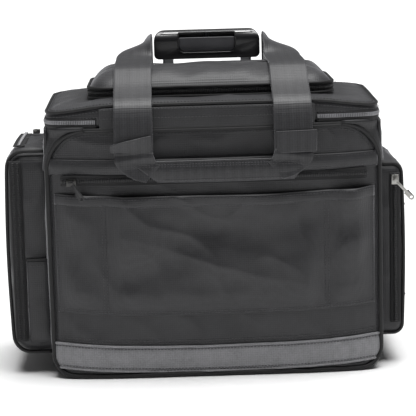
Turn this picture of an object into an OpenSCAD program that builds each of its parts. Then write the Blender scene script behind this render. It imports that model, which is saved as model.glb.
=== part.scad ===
// Wheeled soft flight bag: a padded case with a front-hinged lid, a web carry
// handle anchored at the rear, side pockets and a two-stage telescopic trolley.
// Millimetres. X is the width, -Y is the front and +Z is up. The origin is on the
// floor, at the middle of the base's underside.

/* [Case] */
// Width of the case over its two side walls
case_w = 420; // [340:1:480]
// Depth of the case from the front corners to the back of the rear wall
case_d = 216; // [190:1:260]
// Height of the case rim above the floor
rim_z = 320; // [290:1:380]
// Thickness of a padded wall
wall = 6; // [4:0.5:9]
// Radius of the lower corners of the case, seen from the front
foot_r = 28; // [20:1:40]
// How far the middle of the front panel stands forward of its corners
bulge = 14; // [8:1:20]
// Radius of the front panel's upper corners, inside the piping
panel_top_r = 48; // [20:1:60]
// Width of the piping round the front panel
piping_w = 5; // [3:0.5:8]
// Height of the padded rim that the lid closes on
rim_h = 24; // [16:1:40]

/* [Front pockets] */
// Height of the zip's middle line above the floor
front_zip_z = 254; // [240:1:258]
// Height of the zip tape
front_zip_h = 15; // [10:1:20]
// Height of the welt above the zip
welt_h = 20; // [12:1:24]
// Top hem of the slip pocket
slip_top_z = 236; // [180:1:238]
// Bottom seam of the slip pocket
slip_low_z = 87; // [60:1:120]
// Room between the front panel and the slip pocket's sheet
slip_gap = 7; // [5:0.5:10]
// Distance of the dividing seams from the middle
slip_split_x = 139; // [110:1:150]
// Lower edge of the grey band
band_low_z = 15; // [14:1:30]
// Height of the grey band
band_h = 32; // [20:1:40]

/* [Lid] */
// Height of the lid's upright band
lid_band_h = 24; // [16:1:36]
// Thickness of the lid's top panel
lid_t = 5; // [3:0.5:8]
// Corner radius of the lid, seen from above
lid_r = 34; // [24:1:50]
// Gap between the closed lid and the rim
lid_gap = 0.8; // [0.4:0.1:2]
// Left end of the sewn hinge panel
hinge_left_x = -140; // [-160:1:-60]
// Right end of the sewn hinge panel
hinge_right_x = 126; // [60:1:160]

/* [Top pocket] */
// Width of the pocket on the lid
top_w = 306; // [240:1:330]
// Depth of the pocket on the lid
top_d = 150; // [110:1:170]
// Height of the pocket above the lid
top_h = 37; // [25:1:38]
// Height of the pocket's upright side
top_side_h = 16; // [14:1:20]
// Middle of the pocket, front to rear
top_y = -5; // [-15:1:10]

/* [Side pockets] */
// Depth of both side pockets, front to rear
side_d = 172; // [140:1:180]
// Middle of both side pockets, front to rear
side_y = -2; // [-8:1:8]
// How far the left pocket stands out
left_t = 56; // [40:1:70]
// Lower edge of the left pocket
left_low_z = 24; // [14:1:40]
// Upper edge of the left pocket
left_top_z = 293; // [240:1:294]
// How far the right pocket stands out
right_t = 34; // [24:1:60]
// Lower edge of the right pocket
right_low_z = 36; // [14:1:50]
// Upper edge of the right pocket
right_top_z = 263; // [240:1:264]

/* [Web handle] */
// Width of the webbing
web_w = 48; // [38:1:50]
// Thickness of the webbing
web_t = 2.5; // [1.5:0.5:3]
// Gap between each leg's inner edge and the end of the trolley grip
web_gap = 2; // [1:0.5:10]
// Height of the folded grip
web_grip_h = 26; // [20:1:32]
// Thickness of the folded grip
web_grip_t = 6; // [4:0.5:8]

/* [Trolley] */
// Distance of the tubes from the middle
tube_x = 53; // [46:1:56]
// Width of the innermost tube
tube_w = 15; // [12:0.5:16]
// Depth of the innermost tube
tube_d = 11; // [9:0.5:12]
// Wall of every tube
tube_t = 1.2; // [1:0.1:1.6]
// Running gap between two tubes
tube_gap = 0.3; // [0.2:0.05:0.5]
// Width of the moulded grip
grip_w = 144; // [130:1:146]
// Depth of the moulded grip
grip_d = 28; // [26:1:32]
// Height of the moulded grip
grip_h = 39; // [36:1:46]
// Height of the stowed grip's underside above the case rim
grip_lift = 62; // [50:1:80]
// Width of the finger recess in the grip
scoop_w = 76; // [60:1:84]
// Travel of the release button
button_travel = 5; // [3:0.5:5.5]

/* [Wheels] */
// Radius of a wheel
wheel_r = 30; // [26:1:34]
// Width of a wheel
wheel_w = 22; // [16:1:26]
// Distance of each wheel's middle from the outer side of the case
wheel_inset = 38; // [36:1:70]
// Radius of the wheel axles
axle_r = 3; // [2.5:0.5:4]
// Height of a standing wheel above the floor
wheel_lift = 0.5; // [0.3:0.1:2]

/* [Hidden] */
$fn = 64;
// Clearance that keeps two sewn or moulded pieces apart
fit = 0.3;
// Radial running clearance of a pin in its bore
run = 0.06;
// Half sizes and main planes
half_w = case_w / 2;
half_d = case_d / 2;
front_y = -half_d - bulge;
lid_z = rim_z + lid_gap;
lid_top_z = lid_z + lid_band_h + lid_t;
lid_half_w = half_w - 2;
hinge_z = rim_z - 0.6;
lid_wall = 5;
lid_edge = 4;
// The front panel is flat to the dividing seams, then falls away in two steps
shoulder_x = half_w - 32;
shoulder_drop = 4;
sheet_t = 2.5;
welt_t = 3;
// Zip tape and sliders
zip_y = front_y - 2;
zip_half_w = half_w - 19;
front_zip_low_z = front_zip_z - front_zip_h / 2;
tape_t = 1.5;
slider_size = [9, 4.5, 12];
post_r = 1.4;
post_l = 6.5;
pull_t = 2;
pull_w = 7;
// Web handle: its two folds and the run between them, front to rear and up
web_x = grip_w / 2 + web_gap;
grip_z = rim_z + grip_lift;
root_y = half_d + 4;
root_z = rim_z;
peak_y = half_d + 10;
peak_z = grip_z + grip_h - 3;
top_crown_z = lid_top_z + top_h;
over_z = top_crown_z + web_t / 2 + 0.6;
web_front_y = front_y - 25;
web_grip_top_z = front_zip_z + 25;
leg_path = [
    [peak_y, peak_z],
    [half_d - 8, peak_z - 6],
    [half_d - 28, (peak_z + over_z) / 2 + 1],
    [top_y + top_d / 2 - 10, over_z + 3],
    [top_y + top_d / 2 - 30, over_z],
    [top_y - top_d / 2 + 27, over_z],
    [top_y - top_d / 2 + 20, over_z - 2.5],
    [top_y - top_d / 2 - 8, lid_top_z + top_side_h + 2],
    [front_y + 10, lid_top_z + 7],
    [front_y - 4, lid_top_z + 1],
    [front_y - 14, lid_top_z - 11],
    [front_y - 20, lid_top_z - 29],
    [web_front_y + 1, lid_top_z - 51],
    [web_front_y, web_grip_top_z + fit]
];
// Trolley tubes: inner, middle and outer, each fitting in the next
mid_w = tube_w + 2 * (tube_gap + tube_t);
mid_d = tube_d + 2 * (tube_gap + tube_t);
out_w = mid_w + 2 * (tube_gap + tube_t);
out_d = mid_d + 2 * (tube_gap + tube_t);
trolley_y = half_d + 7.5 + out_d / 2;
tube_low_z = 40;
bezel_h = 9;
bezel_z = rim_z + 1 - bezel_h;
collar_z = bezel_z + bezel_h + fit;
collar_h = 8;
cover_half_w = min(web_x - 2, tube_x + out_w / 2 + 8);
cover_d = out_d + 14;
cover_wall = 2.5;
// Moulded grip and its release button
grip_y = trolley_y;
grip_wall = 3;
scoop_low_z = grip_z + 9;
scoop_h = grip_h - 13;
scoop_r = 9;
button_h = scoop_h - button_travel - 1.5;
bar_z = grip_z + 21;
rod_r = 2;
spring_r = 3.4;
// Wheels and their housings
wheel_x = half_w - wheel_inset;
axle_z = wheel_r + wheel_lift;
axle_y = half_d + 4;
slot_w = wheel_w + 4;
cheek_t = 9;
housing_w = slot_w + 2 * cheek_t;
housing_low_z = wheel_lift;
housing_top_z = axle_z + wheel_r + 12;
housing_front_y = axle_y - wheel_r - 10;
hub_r = wheel_r * 0.7;
screw_r = 2;

// ---- Shared shapes ----

// A box given by its low and high corners.
module span(low, high) {
    translate(low) cube(high - low);
}

// A flat outline, centred on X and standing on Y = 0, with round corners.
module rounded(size, low_r, top_r) {
    w = size[0];
    h = size[1];
    translate([-w / 2, low_r]) square([w, h - low_r - top_r]);
    if (low_r > 0) {
        translate([low_r - w / 2, 0]) square([w - 2 * low_r, low_r + 1]);
        for (s = [-1, 1]) translate([s * (w / 2 - low_r), low_r]) circle(low_r);
    }
    if (top_r > 0) {
        translate([top_r - w / 2, h - top_r - 1]) square([w - 2 * top_r, top_r + 1]);
        for (s = [-1, 1]) translate([s * (w / 2 - top_r), h - top_r]) circle(top_r);
    }
}

// A flat outline with four equal round corners, centred on both axes.
module rounded_plan(size, r) {
    translate([0, -size[1] / 2]) rounded(size, r, r);
}

// Stands a flat outline up, with its Y as height, from y_low to y_high in depth.
module upright(y_low, y_high) {
    translate([0, y_high, 0]) rotate([90, 0, 0]) linear_extrude(y_high - y_low) children();
}

// A tube of rectangular section with round edges.
module box_tube(w, d, t, low_z, high_z) {
    translate([0, 0, low_z]) linear_extrude(high_z - low_z) difference() {
        rounded_plan([w, d], 3);
        rounded_plan([w - 2 * t, d - 2 * t], 3 - t);
    }
}

// The front surface as seen from above, moved forward by out.
function front_line(out, half) = [
    [-half, -half_d - out - edge_fall(half)],
    [-shoulder_x, front_y + shoulder_drop - out],
    [-slip_split_x, front_y - out],
    [slip_split_x, front_y - out],
    [shoulder_x, front_y + shoulder_drop - out],
    [half, -half_d - out - edge_fall(half)]
];
// How far the slope has risen at a place just inside the case's edge.
function edge_fall(half) = (bulge - shoulder_drop) * (half_w - half) / (half_w - shoulder_x);
function reversed(points) = [for (i = [len(points) - 1:-1:0]) points[i]];

// A layer that follows the front panel, between two offsets, within an outline.
module front_layer(out, back) {
    intersection() {
        linear_extrude(rim_z + lid_band_h) polygon(
            concat(front_line(out, half_w), reversed(front_line(back, half_w)))
        );
        upright(front_y - 30, 0) children();
    }
}

// The bag seen from above, set in from the outer line by inset.
module plan(inset) {
    half = lid_half_w - inset;
    intersection() {
        polygon(concat(
            front_line(-inset, half),
            [[half, half_d - inset], [-half, half_d - inset]]
        ));
        translate([0, (half_d + front_y) / 2])
            rounded_plan([2 * half, half_d - front_y - 2 * inset], lid_r - inset);
    }
}

// A band round the bag between two insets.
module plan_ring(outer, inner, low_z, high_z) {
    translate([0, 0, low_z]) linear_extrude(high_z - low_z) difference() {
        plan(outer);
        plan(inner);
    }
}

// Webbing seen from the side: a line thickened by t, with its ends square.
function unit(v) = v / norm(v);
function along(path, i) = unit(path[min(i + 1, len(path) - 1)] - path[max(i - 1, 0)]);
function side_point(path, i, r) = path[i] + r * [-along(path, i)[1], along(path, i)[0]];
module ribbon(path, t) {
    polygon(concat(
        [for (i = [0:len(path) - 1]) side_point(path, i, t / 2)],
        [for (i = [len(path) - 1:-1:0]) side_point(path, i, -t / 2)]
    ));
}

// Extrudes an outline drawn in depth and height across the bag's width.
module across(low_x, high_x) {
    translate([low_x, 0, 0]) rotate([90, 0, 90]) linear_extrude(high_x - low_x) children();
}

// Places a child on both sides, the second as a mirror image.
module both_sides() {
    children();
    mirror([1, 0, 0]) children();
}

// ---- Case ----

// The space that a wheel housing takes in the lower rear corner.
module housing_space(side) {
    x = side * wheel_x;
    span([x - housing_w / 2, housing_front_y, -1], [x + housing_w / 2, half_d + 1, housing_top_z]);
}
module without_housings() {
    difference() {
        children();
        for (side = [-1, 1]) housing_space(side);
    }
}

module base_board() {
    color("#242426") without_housings()
        span([foot_r - half_w, wall - half_d, 0], [half_w - foot_r, half_d, wall]);
}

// The outline of the front panel, inside its piping.
module panel_outline(grow) {
    r = panel_top_r + grow;
    low_r = foot_r - wall + 2 + grow;
    translate([0, wall - grow])
        rounded([case_w - 2 * (piping_w - grow), rim_z - 2 * wall + 2 * grow], low_r, r);
}

module front_panel() {
    color("#2c2c2e") front_layer(0, -wall) panel_outline(0);
}

module front_piping() {
    color("#1b1b1c") front_layer(3, -3) difference() {
        panel_outline(piping_w);
        panel_outline(0);
    }
}

module rear_panel() {
    color("#2c2c2e") without_housings() upright(half_d - wall, half_d)
        translate([0, wall]) rounded([case_w - 2 * wall, rim_z - wall], foot_r - wall, 0);
}

// One side wall with its rounded lower corner.
module gusset(side) {
    low_x = side > 0 ? half_w - foot_r : -half_w;
    without_housings() upright(wall - half_d, half_d) intersection() {
        difference() {
            rounded([case_w, rim_z], foot_r, 0);
            translate([0, wall]) rounded([case_w - 2 * wall, rim_z], foot_r - wall, 0);
        }
        translate([low_x, 0]) square([foot_r, rim_z]);
    }
}
module left_gusset() {
    color("#262628") gusset(-1);
}
module right_gusset() {
    color("#262628") gusset(1);
}

module rim_band() {
    inset = wall + fit;
    color("#202022") plan_ring(inset, inset + 4, rim_z - rim_h, rim_z);
}

module rear_piping() {
    color("#1b1b1c") for (side = [-1, 1])
        span(
            [side * half_w - (side > 0 ? piping_w : 0), half_d, housing_top_z],
            [side * half_w + (side > 0 ? 0 : piping_w), half_d + 4, rim_z - 4]
        );
}

module grey_band() {
    color("#6c6c6f") front_layer(sheet_t, 0) intersection() {
        translate([-half_w, band_low_z]) square([case_w, band_h]);
        panel_outline(-1);
    }
}

// ---- Front pockets ----

module pocket_welt() {
    low_z = front_zip_low_z + front_zip_h;
    color("#2a2a2c") front_layer(welt_t, 0) intersection() {
        translate([-half_w, low_z]) square([case_w, welt_h]);
        panel_outline(-1);
    }
}

// The zip tape has a straight face, so that the slider runs straight.
module front_zip() {
    color("#161617") difference() {
        span(
            [-zip_half_w, zip_y, front_zip_low_z + fit],
            [zip_half_w, -half_d, front_zip_low_z + front_zip_h - fit]
        );
        translate([0, 0, -1]) linear_extrude(rim_z) polygon(
            concat(front_line(0, half_w), [[half_w, 0], [-half_w, 0]])
        );
    }
}

// A sheet across the front, held by seams at its foot, ends and two dividers.
module slip_pocket() {
    seam = 4;
    end_x = half_w - piping_w - 4;
    color("#2c2c2e") union() {
        front_layer(slip_gap + sheet_t, slip_gap)
            translate([-end_x, slip_low_z]) square([2 * end_x, slip_top_z - slip_low_z]);
        front_layer(slip_gap + 0.1, 0) {
            translate([-end_x, slip_low_z]) square([2 * end_x, seam]);
            for (x = [-end_x, -slip_split_x - seam / 2, slip_split_x - seam / 2, end_x - seam])
                translate([x, slip_low_z]) square([seam, slip_top_z - slip_low_z]);
        }
    }
}

// ---- Side pockets ----

// A soft box pocket on one side wall; x runs outwards from the wall.
module side_pocket(t, low_z, top_z) {
    r = min(22, t * 0.45);
    upright(side_y - side_d / 2, side_y + side_d / 2) intersection() {
        translate([half_w, low_z]) rounded([2 * t, top_z - low_z], r, r);
        translate([half_w, low_z]) square([t, top_z - low_z]);
    }
}
module pocket_zip(t, low_z, top_z, from_out, width) {
    x = half_w + t - from_out - width;
    y = side_y - side_d / 2;
    span([x, y - tape_t, low_z + 18], [x + width, y, top_z - 14]);
}

module left_pocket() {
    color("#29292b") mirror([1, 0, 0]) side_pocket(left_t, left_low_z, left_top_z);
}
module left_pocket_zip() {
    x = half_w + left_t - 28;
    color("#161617") mirror([1, 0, 0]) {
        pocket_zip(left_t, left_low_z, left_top_z, 10, 15);
        span(
            [x - 15, side_y - side_d / 2 + 20, left_top_z],
            [x, side_y + side_d / 2 - 20, left_top_z + tape_t]
        );
    }
}
module left_pen_pocket() {
    y = side_y - side_d / 2;
    color("#2c2c2e") span(
        [-half_w - left_t + 26, y - sheet_t, left_low_z + 18],
        [-half_w - 2, y, left_low_z + 126]
    );
}
module left_pocket_tab() {
    z = left_low_z + 106;
    color("#202022") span([-half_w - left_t - 3, -12, z], [-half_w - left_t, 13, z + 62]);
}
module right_pocket() {
    color("#29292b") side_pocket(right_t, right_low_z, right_top_z);
}
module right_pocket_zip() {
    color("#161617") pocket_zip(right_t, right_low_z, right_top_z, 8, 14);
}
module side_tabs() {
    color("#1b1b1c") {
        span([-half_w - 6, -20, left_top_z + 4], [-half_w, 20, left_top_z + 24]);
        span([half_w, -20, right_top_z + 4], [half_w + 6, 20, right_top_z + 26]);
    }
}

// ---- Lid ----

module lid_panel() {
    color("#303033") translate([0, 0, lid_top_z - lid_t]) linear_extrude(lid_t) plan(lid_edge);
}
module lid_piping() {
    color("#1b1b1c") plan_ring(0, lid_edge, lid_top_z - lid_t, lid_top_z);
}
module lid_band() {
    color("#29292b") plan_ring(0, lid_wall, lid_z, lid_top_z - lid_t);
}
// The stretch of the front that the lid hinges on.
module hinge_stretch(grow) {
    span(
        [hinge_left_x - grow, front_y - 10, hinge_z - fit / 2],
        [hinge_right_x + grow, -half_d + 10, lid_top_z]
    );
}
module lid_zip() {
    color("#161617") difference() {
        plan_ring(-tape_t, 0, lid_z + 1, lid_z + 11);
        hinge_stretch(fit);
    }
}
module hinge_panel() {
    color("#303033") intersection() {
        plan_ring(-tape_t, 0, hinge_z, lid_top_z - lid_t - 1);
        hinge_stretch(0);
    }
}

module top_outline(grow) {
    translate([0, top_y]) rounded_plan([top_w + 2 * grow, top_d + 2 * grow], 30 + grow);
}
module top_pocket() {
    shrink = 28;
    color("#323235") translate([0, 0, lid_top_z]) hull() {
        linear_extrude(top_side_h) translate([0, top_y])
            rounded_plan([top_w, top_d], 30, $fn = 32);
        translate([0, 0, top_h - 1]) linear_extrude(1) translate([0, top_y])
            rounded_plan([top_w - 2 * shrink, top_d - 2 * shrink], 12, $fn = 32);
    }
}
module top_ring(grow, low_z, high_z) {
    translate([0, 0, lid_top_z + low_z]) linear_extrude(high_z - low_z) difference() {
        top_outline(grow);
        top_outline(fit / 2);
    }
}
module top_pocket_piping() {
    color("#1b1b1c") {
        top_ring(4, 0, 4);
        top_ring(4, top_side_h - 4, top_side_h);
    }
}
module top_pocket_zip() {
    color("#161617") top_ring(2, 4, top_side_h - 4);
}

// ---- Web handle ----

module handle_anchors() {
    top_z = root_z - web_t * 0.71 - 0.2;
    color("#1e1e20") both_sides() {
        span([web_x, half_d, rim_z - 90], [web_x + web_w, half_d + web_t, top_z]);
        span([web_x, half_d, top_z - 8], [web_x + web_w, root_y + web_t / 2, top_z]);
    }
}
// The upright stretch of webbing between the handle's two folds.
module web_roots() {
    root = [root_y, root_z];
    peak = [peak_y, peak_z];
    path = [root - unit(peak - root) * web_t / 2, peak - unit(peak - root) * web_t * 0.8];
    color("#222224") both_sides() across(web_x, web_x + web_w) ribbon(path, web_t);
}
module web_leg_right() {
    color("#222224") across(web_x, web_x + web_w) ribbon(leg_path, web_t);
}
module web_leg_left() {
    color("#222224") mirror([1, 0, 0]) across(web_x, web_x + web_w) ribbon(leg_path, web_t);
}
module web_grip() {
    x = web_x + web_w;
    y = web_front_y;
    color("#2a2a2c") span(
        [-x, y - web_grip_t / 2, web_grip_top_z - web_grip_h],
        [x, y + web_grip_t / 2, web_grip_top_z]
    );
}

// ---- Trolley ----

module twin() {
    for (side = [-1, 1]) translate([side * tube_x, trolley_y, 0]) children();
}
module outer_tubes() {
    color("#8f9194") twin() box_tube(out_w, out_d, tube_t, tube_low_z, bezel_z);
}
module mid_tubes() {
    color("#b9bbbe") twin() box_tube(mid_w, mid_d, tube_t, tube_low_z + 10, collar_z);
}
module mid_collars() {
    color("#1c1c1e") twin()
        box_tube(mid_w + 3, mid_d + 3, 1.5 + tube_t, collar_z, collar_z + collar_h);
}
module inner_tubes() {
    color("#c9cbce") twin() box_tube(tube_w, tube_d, tube_t, tube_low_z + 20, grip_z + 12);
}
module tube_foot() {
    color("#1c1c1e") difference() {
        span(
            [-tube_x - out_w / 2 - 5, half_d, tube_low_z - 12],
            [tube_x + out_w / 2 + 5, trolley_y + out_d / 2 + 4, tube_low_z + 6]
        );
        twin() translate([0, 0, tube_low_z]) linear_extrude(10) rounded_plan([out_w, out_d], 3);
    }
}
module trolley_cover() {
    low_z = tube_low_z + 6;
    color("#262628") difference() {
        span([-cover_half_w, half_d, low_z], [cover_half_w, half_d + cover_d, bezel_z]);
        span(
            [cover_wall - cover_half_w, half_d - 1, low_z - 1],
            [cover_half_w - cover_wall, half_d + cover_d - cover_wall, bezel_z + 1]
        );
    }
}
module trolley_bezel() {
    color("#1c1c1e") difference() {
        span([-cover_half_w, half_d + fit, bezel_z], [cover_half_w, half_d + cover_d, bezel_z + bezel_h]);
        twin() translate([0, 0, bezel_z - 1]) linear_extrude(bezel_h + 2)
            square([mid_w + 2 * tube_gap, mid_d + 2 * tube_gap], center = true);
    }
}

// The grip seen from the front.
module grip_outline(inset) {
    translate([0, grip_z + inset])
        rounded([grip_w - 2 * inset, grip_h - 2 * inset], 7 - inset, 15 - inset);
}
// One half of the hollow grip, from its joint plane to its outer face.
module grip_half(joint_y, face_y) {
    inner_y = face_y > joint_y ? face_y - grip_wall : face_y + grip_wall;
    difference() {
        upright(min(joint_y, face_y), max(joint_y, face_y)) grip_outline(0);
        upright(min(joint_y, inner_y), max(joint_y, inner_y)) grip_outline(grip_wall);
        twin() translate([0, 0, grip_z - 1]) linear_extrude(grip_wall + 2)
            rounded_plan([tube_w + fit, tube_d + fit], 3);
    }
}
module screw_posts(low_y, high_y, r) {
    for (side = [-1, 1]) translate([side * (tube_x - 15), high_y, grip_z + 7])
        rotate([90, 0, 0]) cylinder(r = r, h = high_y - low_y);
}
module grip_front() {
    face_y = grip_y - grip_d / 2;
    color("#19191b") difference() {
        union() {
            grip_half(grip_y, face_y);
            screw_posts(face_y + grip_wall - 0.5, grip_y, 3.6);
        }
        upright(face_y - 1, face_y + grip_wall + 1)
            translate([0, scoop_low_z]) rounded([scoop_w, scoop_h], scoop_r, 3);
        screw_posts(grip_y - 7, grip_y + 1, screw_r + run);
    }
}
module grip_rear() {
    face_y = grip_y + grip_d / 2;
    color("#19191b") difference() {
        union() {
            grip_half(grip_y, face_y);
            screw_posts(grip_y, face_y - grip_wall + 0.5, 3.6);
        }
        screw_posts(grip_y - 1, face_y + 1, screw_r + run);
        screw_posts(face_y - 2, face_y + 1, 3.2 + run);
    }
}
module grip_screws() {
    face_y = grip_y + grip_d / 2;
    color("#9a9c9f") {
        screw_posts(grip_y - 6, face_y - 1.5, screw_r);
        screw_posts(face_y - 2, face_y - 0.2, 3.2);
    }
}
// The paddle in the finger recess, with the bar behind it that lifts the rods.
module push_button() {
    face_y = grip_y - grip_d / 2;
    paddle_w = scoop_w - 2 * fit;
    bar_half = tube_x + rod_r + 2;
    color("#3a3a3c") {
        upright(face_y + 1, face_y + grip_wall + 3) translate([0, scoop_low_z + fit])
            rounded([paddle_w, button_h], scoop_r, 2);
        span([-20, face_y + grip_wall + 2, bar_z - 6], [20, grip_y - 3, bar_z]);
        span([-bar_half, grip_y - 3, bar_z - 4], [bar_half, grip_y + 3, bar_z]);
    }
}
module release_rods() {
    low_z = tube_low_z + 30;
    color("#9a9c9f") translate([0, 0, low_z]) twin() cylinder(r = rod_r, h = bar_z - 4 - low_z);
}
// A coil spring between the bar and the grip's roof, drawn as its sleeve.
module button_spring() {
    low_z = bar_z + fit;
    high_z = grip_z + grip_h - grip_wall - fit;
    color("#9a9c9f") translate([0, grip_y, low_z]) difference() {
        cylinder(r = spring_r, h = high_z - low_z);
        translate([0, 0, -1]) cylinder(r = spring_r - 1, h = high_z - low_z + 2);
    }
}

// ---- Wheels ----

module at_axle(side) {
    translate([side * wheel_x, axle_y, axle_z]) rotate([0, 90, 0]) children();
}
module wheel_housing(side) {
    x = side * wheel_x;
    color("#1a1a1c") difference() {
        union() {
            span(
                [x - housing_w / 2, housing_front_y, housing_low_z],
                [x + housing_w / 2, half_d + 4, housing_top_z]
            );
            at_axle(side) cylinder(r = 20, h = housing_w, center = true);
        }
        at_axle(side) cylinder(r = wheel_r + 3, h = slot_w, center = true);
        at_axle(side) cylinder(r = axle_r + run, h = housing_w + 2, center = true);
        housing_screw_places(side) cylinder(r = screw_r + run, h = 12);
    }
}
module housing_screw_places(side) {
    for (dx = [-15, 15]) translate([side * wheel_x + dx, half_d + 5, housing_top_z - 6])
        rotate([90, 0, 0]) children();
}
module left_wheel_housing() {
    wheel_housing(-1);
}
module right_wheel_housing() {
    wheel_housing(1);
}
module housing_screws() {
    color("#9a9c9f") for (side = [-1, 1]) housing_screw_places(side) {
        cylinder(r = screw_r, h = 11);
        translate([0, 0, -1]) cylinder(r = 4, h = 2);
    }
}
module wheel_axles() {
    color("#9a9c9f") for (side = [-1, 1])
        at_axle(side) cylinder(r = axle_r, h = housing_w, center = true);
}
module tyre(side) {
    color("#1d1d1f") at_axle(side) rotate_extrude() difference() {
        translate([hub_r + 0.05, -wheel_w / 2]) square([wheel_r - hub_r - 0.05, wheel_w]);
        for (s = [-1, 1]) translate([wheel_r, s * wheel_w / 2]) rotate(45) square(5, center = true);
    }
}
module hub(side) {
    color("#55575a") at_axle(side) difference() {
        union() {
            cylinder(r = hub_r, h = wheel_w - 2, center = true);
            cylinder(r = 8, h = slot_w - 0.6, center = true);
        }
        cylinder(r = axle_r + run, h = slot_w + 2, center = true);
        for (s = [-1, 1]) translate([0, 0, s * (wheel_w / 2 - 1)]) difference() {
            cylinder(r = hub_r - 3, h = 6, center = true);
            cylinder(r = 8.01, h = 7, center = true);
        }
    }
}
module left_tyre() {
    tyre(-1);
}
module left_hub() {
    hub(-1);
}
module right_tyre() {
    tyre(1);
}
module right_hub() {
    hub(1);
}

// ---- Zip sliders ----

// A slider on an upright face at the origin.
module slider_body(along_x) {
    s = slider_size;
    rotate([0, along_x ? 90 : 0, 0]) translate([-s[0] / 2, -s[1], -s[2] / 2]) cube(s);
}
// The same with a pivot post that points forward.
module slider(along_x) {
    s = slider_size;
    slider_body(along_x);
    translate([0, 0.5 - s[1], 0]) rotate([90, 0, 0]) cylinder(r = post_r, h = post_l + 0.5);
    translate([0, -s[1] - post_l, 0]) rotate([90, 0, 0]) cylinder(r = post_r + 0.8, h = 0.8);
}
// A pull tab on that post, hanging at an angle, with a hole in its foot.
module pull(angle, length) {
    y = -slider_size[1] - post_l + 0.3 + pull_t;
    rotate([0, angle, 0]) translate([0, y, 0]) rotate([90, 0, 0]) linear_extrude(pull_t) difference() {
        union() {
            circle(r = post_r + 2);
            translate([-1.8, -length + pull_w]) square([3.6, length - pull_w]);
            translate([0, -length + pull_w / 2]) {
                circle(r = pull_w / 2);
                translate([-pull_w / 2, 0]) square([pull_w, 10]);
            }
        }
        circle(r = post_r + run);
        translate([0, -length + pull_w / 2]) circle(r = 1.8);
    }
}
module at_front_slider() {
    translate([33 - half_w, zip_y - fit, front_zip_z - 1]) children();
}
module at_right_slider() {
    translate([half_w + right_t - 15, side_y - side_d / 2 - tape_t - fit, right_top_z - 23]) children();
}
module front_slider() {
    color("#b9bbbe") at_front_slider() slider(true);
}
module front_pull() {
    color("#303033") at_front_slider() pull(-32, 27);
}
module right_slider() {
    color("#b9bbbe") at_right_slider() slider(false);
}
module right_pull() {
    color("#b9bbbe") at_right_slider() pull(-42, 33);
}
// A slider with its tab lying flat, for the zips whose tabs are tucked away.
module flat_slider() {
    slider_body(true);
    translate([3, -slider_size[1] - 1.5, -1.8]) cube([22, 1.6, 3.6]);
}
module lid_slider() {
    color("#b9bbbe") translate([-lid_half_w - tape_t - fit, 70, lid_z + 6])
        rotate([0, 0, -90]) flat_slider();
}
module left_slider() {
    x = -(half_w + left_t - 35.5);
    color("#b9bbbe") translate([x, side_y + side_d / 2 - 40, left_top_z + tape_t + fit])
        rotate([0, 0, -90]) rotate([-90, 0, 0]) flat_slider();
}

base_board();
front_panel();
rear_panel();
left_gusset();
right_gusset();
rim_band();
front_piping();
rear_piping();
grey_band();
pocket_welt();
front_zip();
slip_pocket();
left_pocket();
left_pocket_zip();
left_pen_pocket();
left_pocket_tab();
right_pocket();
right_pocket_zip();
side_tabs();
handle_anchors();
trolley_cover();
trolley_bezel();
tube_foot();
outer_tubes();
left_wheel_housing();
right_wheel_housing();
wheel_axles();
housing_screws();
lid_panel();
lid_band();
lid_piping();
lid_zip();
hinge_panel();
top_pocket();
top_pocket_piping();
top_pocket_zip();
mid_tubes();
mid_collars();
inner_tubes();
grip_front();
grip_rear();
grip_screws();
push_button();
release_rods();
button_spring();
web_roots();
web_leg_left();
web_leg_right();
web_grip();
left_tyre();
left_hub();
right_tyre();
right_hub();
front_slider();
front_pull();
right_slider();
right_pull();
lid_slider();
left_slider();
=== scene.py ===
import math

import bmesh
import bpy
from bpy.props import FloatProperty, FloatVectorProperty, PointerProperty
from mathutils import Matrix, Vector, noise


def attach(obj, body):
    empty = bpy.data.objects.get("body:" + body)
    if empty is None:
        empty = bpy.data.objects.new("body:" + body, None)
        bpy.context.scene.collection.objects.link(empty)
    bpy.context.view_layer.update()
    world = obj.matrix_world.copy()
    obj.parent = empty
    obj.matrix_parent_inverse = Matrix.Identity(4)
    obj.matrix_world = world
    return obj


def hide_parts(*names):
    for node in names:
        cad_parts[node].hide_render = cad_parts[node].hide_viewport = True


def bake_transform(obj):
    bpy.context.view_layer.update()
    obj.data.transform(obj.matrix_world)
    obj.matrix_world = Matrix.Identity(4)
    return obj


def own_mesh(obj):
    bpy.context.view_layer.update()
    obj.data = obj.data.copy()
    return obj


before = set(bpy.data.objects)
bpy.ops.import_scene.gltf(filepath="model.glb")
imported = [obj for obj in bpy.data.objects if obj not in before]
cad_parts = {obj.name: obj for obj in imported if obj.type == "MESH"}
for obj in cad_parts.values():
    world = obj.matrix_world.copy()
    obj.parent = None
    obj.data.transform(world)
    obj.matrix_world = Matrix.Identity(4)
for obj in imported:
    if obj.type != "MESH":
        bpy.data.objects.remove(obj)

bl_info = {
    "name": "Wheeled flight bag",
    "version": (1, 0, 0),
    "blender": (4, 5, 0),
    "location": "View3D > Sidebar > Flight bag",
    "description": "Dresses the flight bag's frame in sewn fabric, webbing, zips and mouldings",
    "category": "Object",
}

MM = 0.001
FRONT, BACK, UP = Vector((0, -1, 0)), Vector((0, 1, 0)), Vector((0, 0, 1))
# A wave texture of this scale has one band to each unit of length.
ONE_BAND = 0.314159
SHEEN_TINT = "#d8d8dc"
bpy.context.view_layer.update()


# ---- Colours and materials ----


def linear(value):
    """An sRGB hex value as linear red, green, blue and alpha."""
    parts = [int(value[i : i + 2], 16) / 255 for i in (1, 3, 5)]
    return tuple(p / 12.92 if p <= 0.04045 else ((p + 0.055) / 1.055) ** 2.4 for p in parts) + (1.0,)


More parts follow.
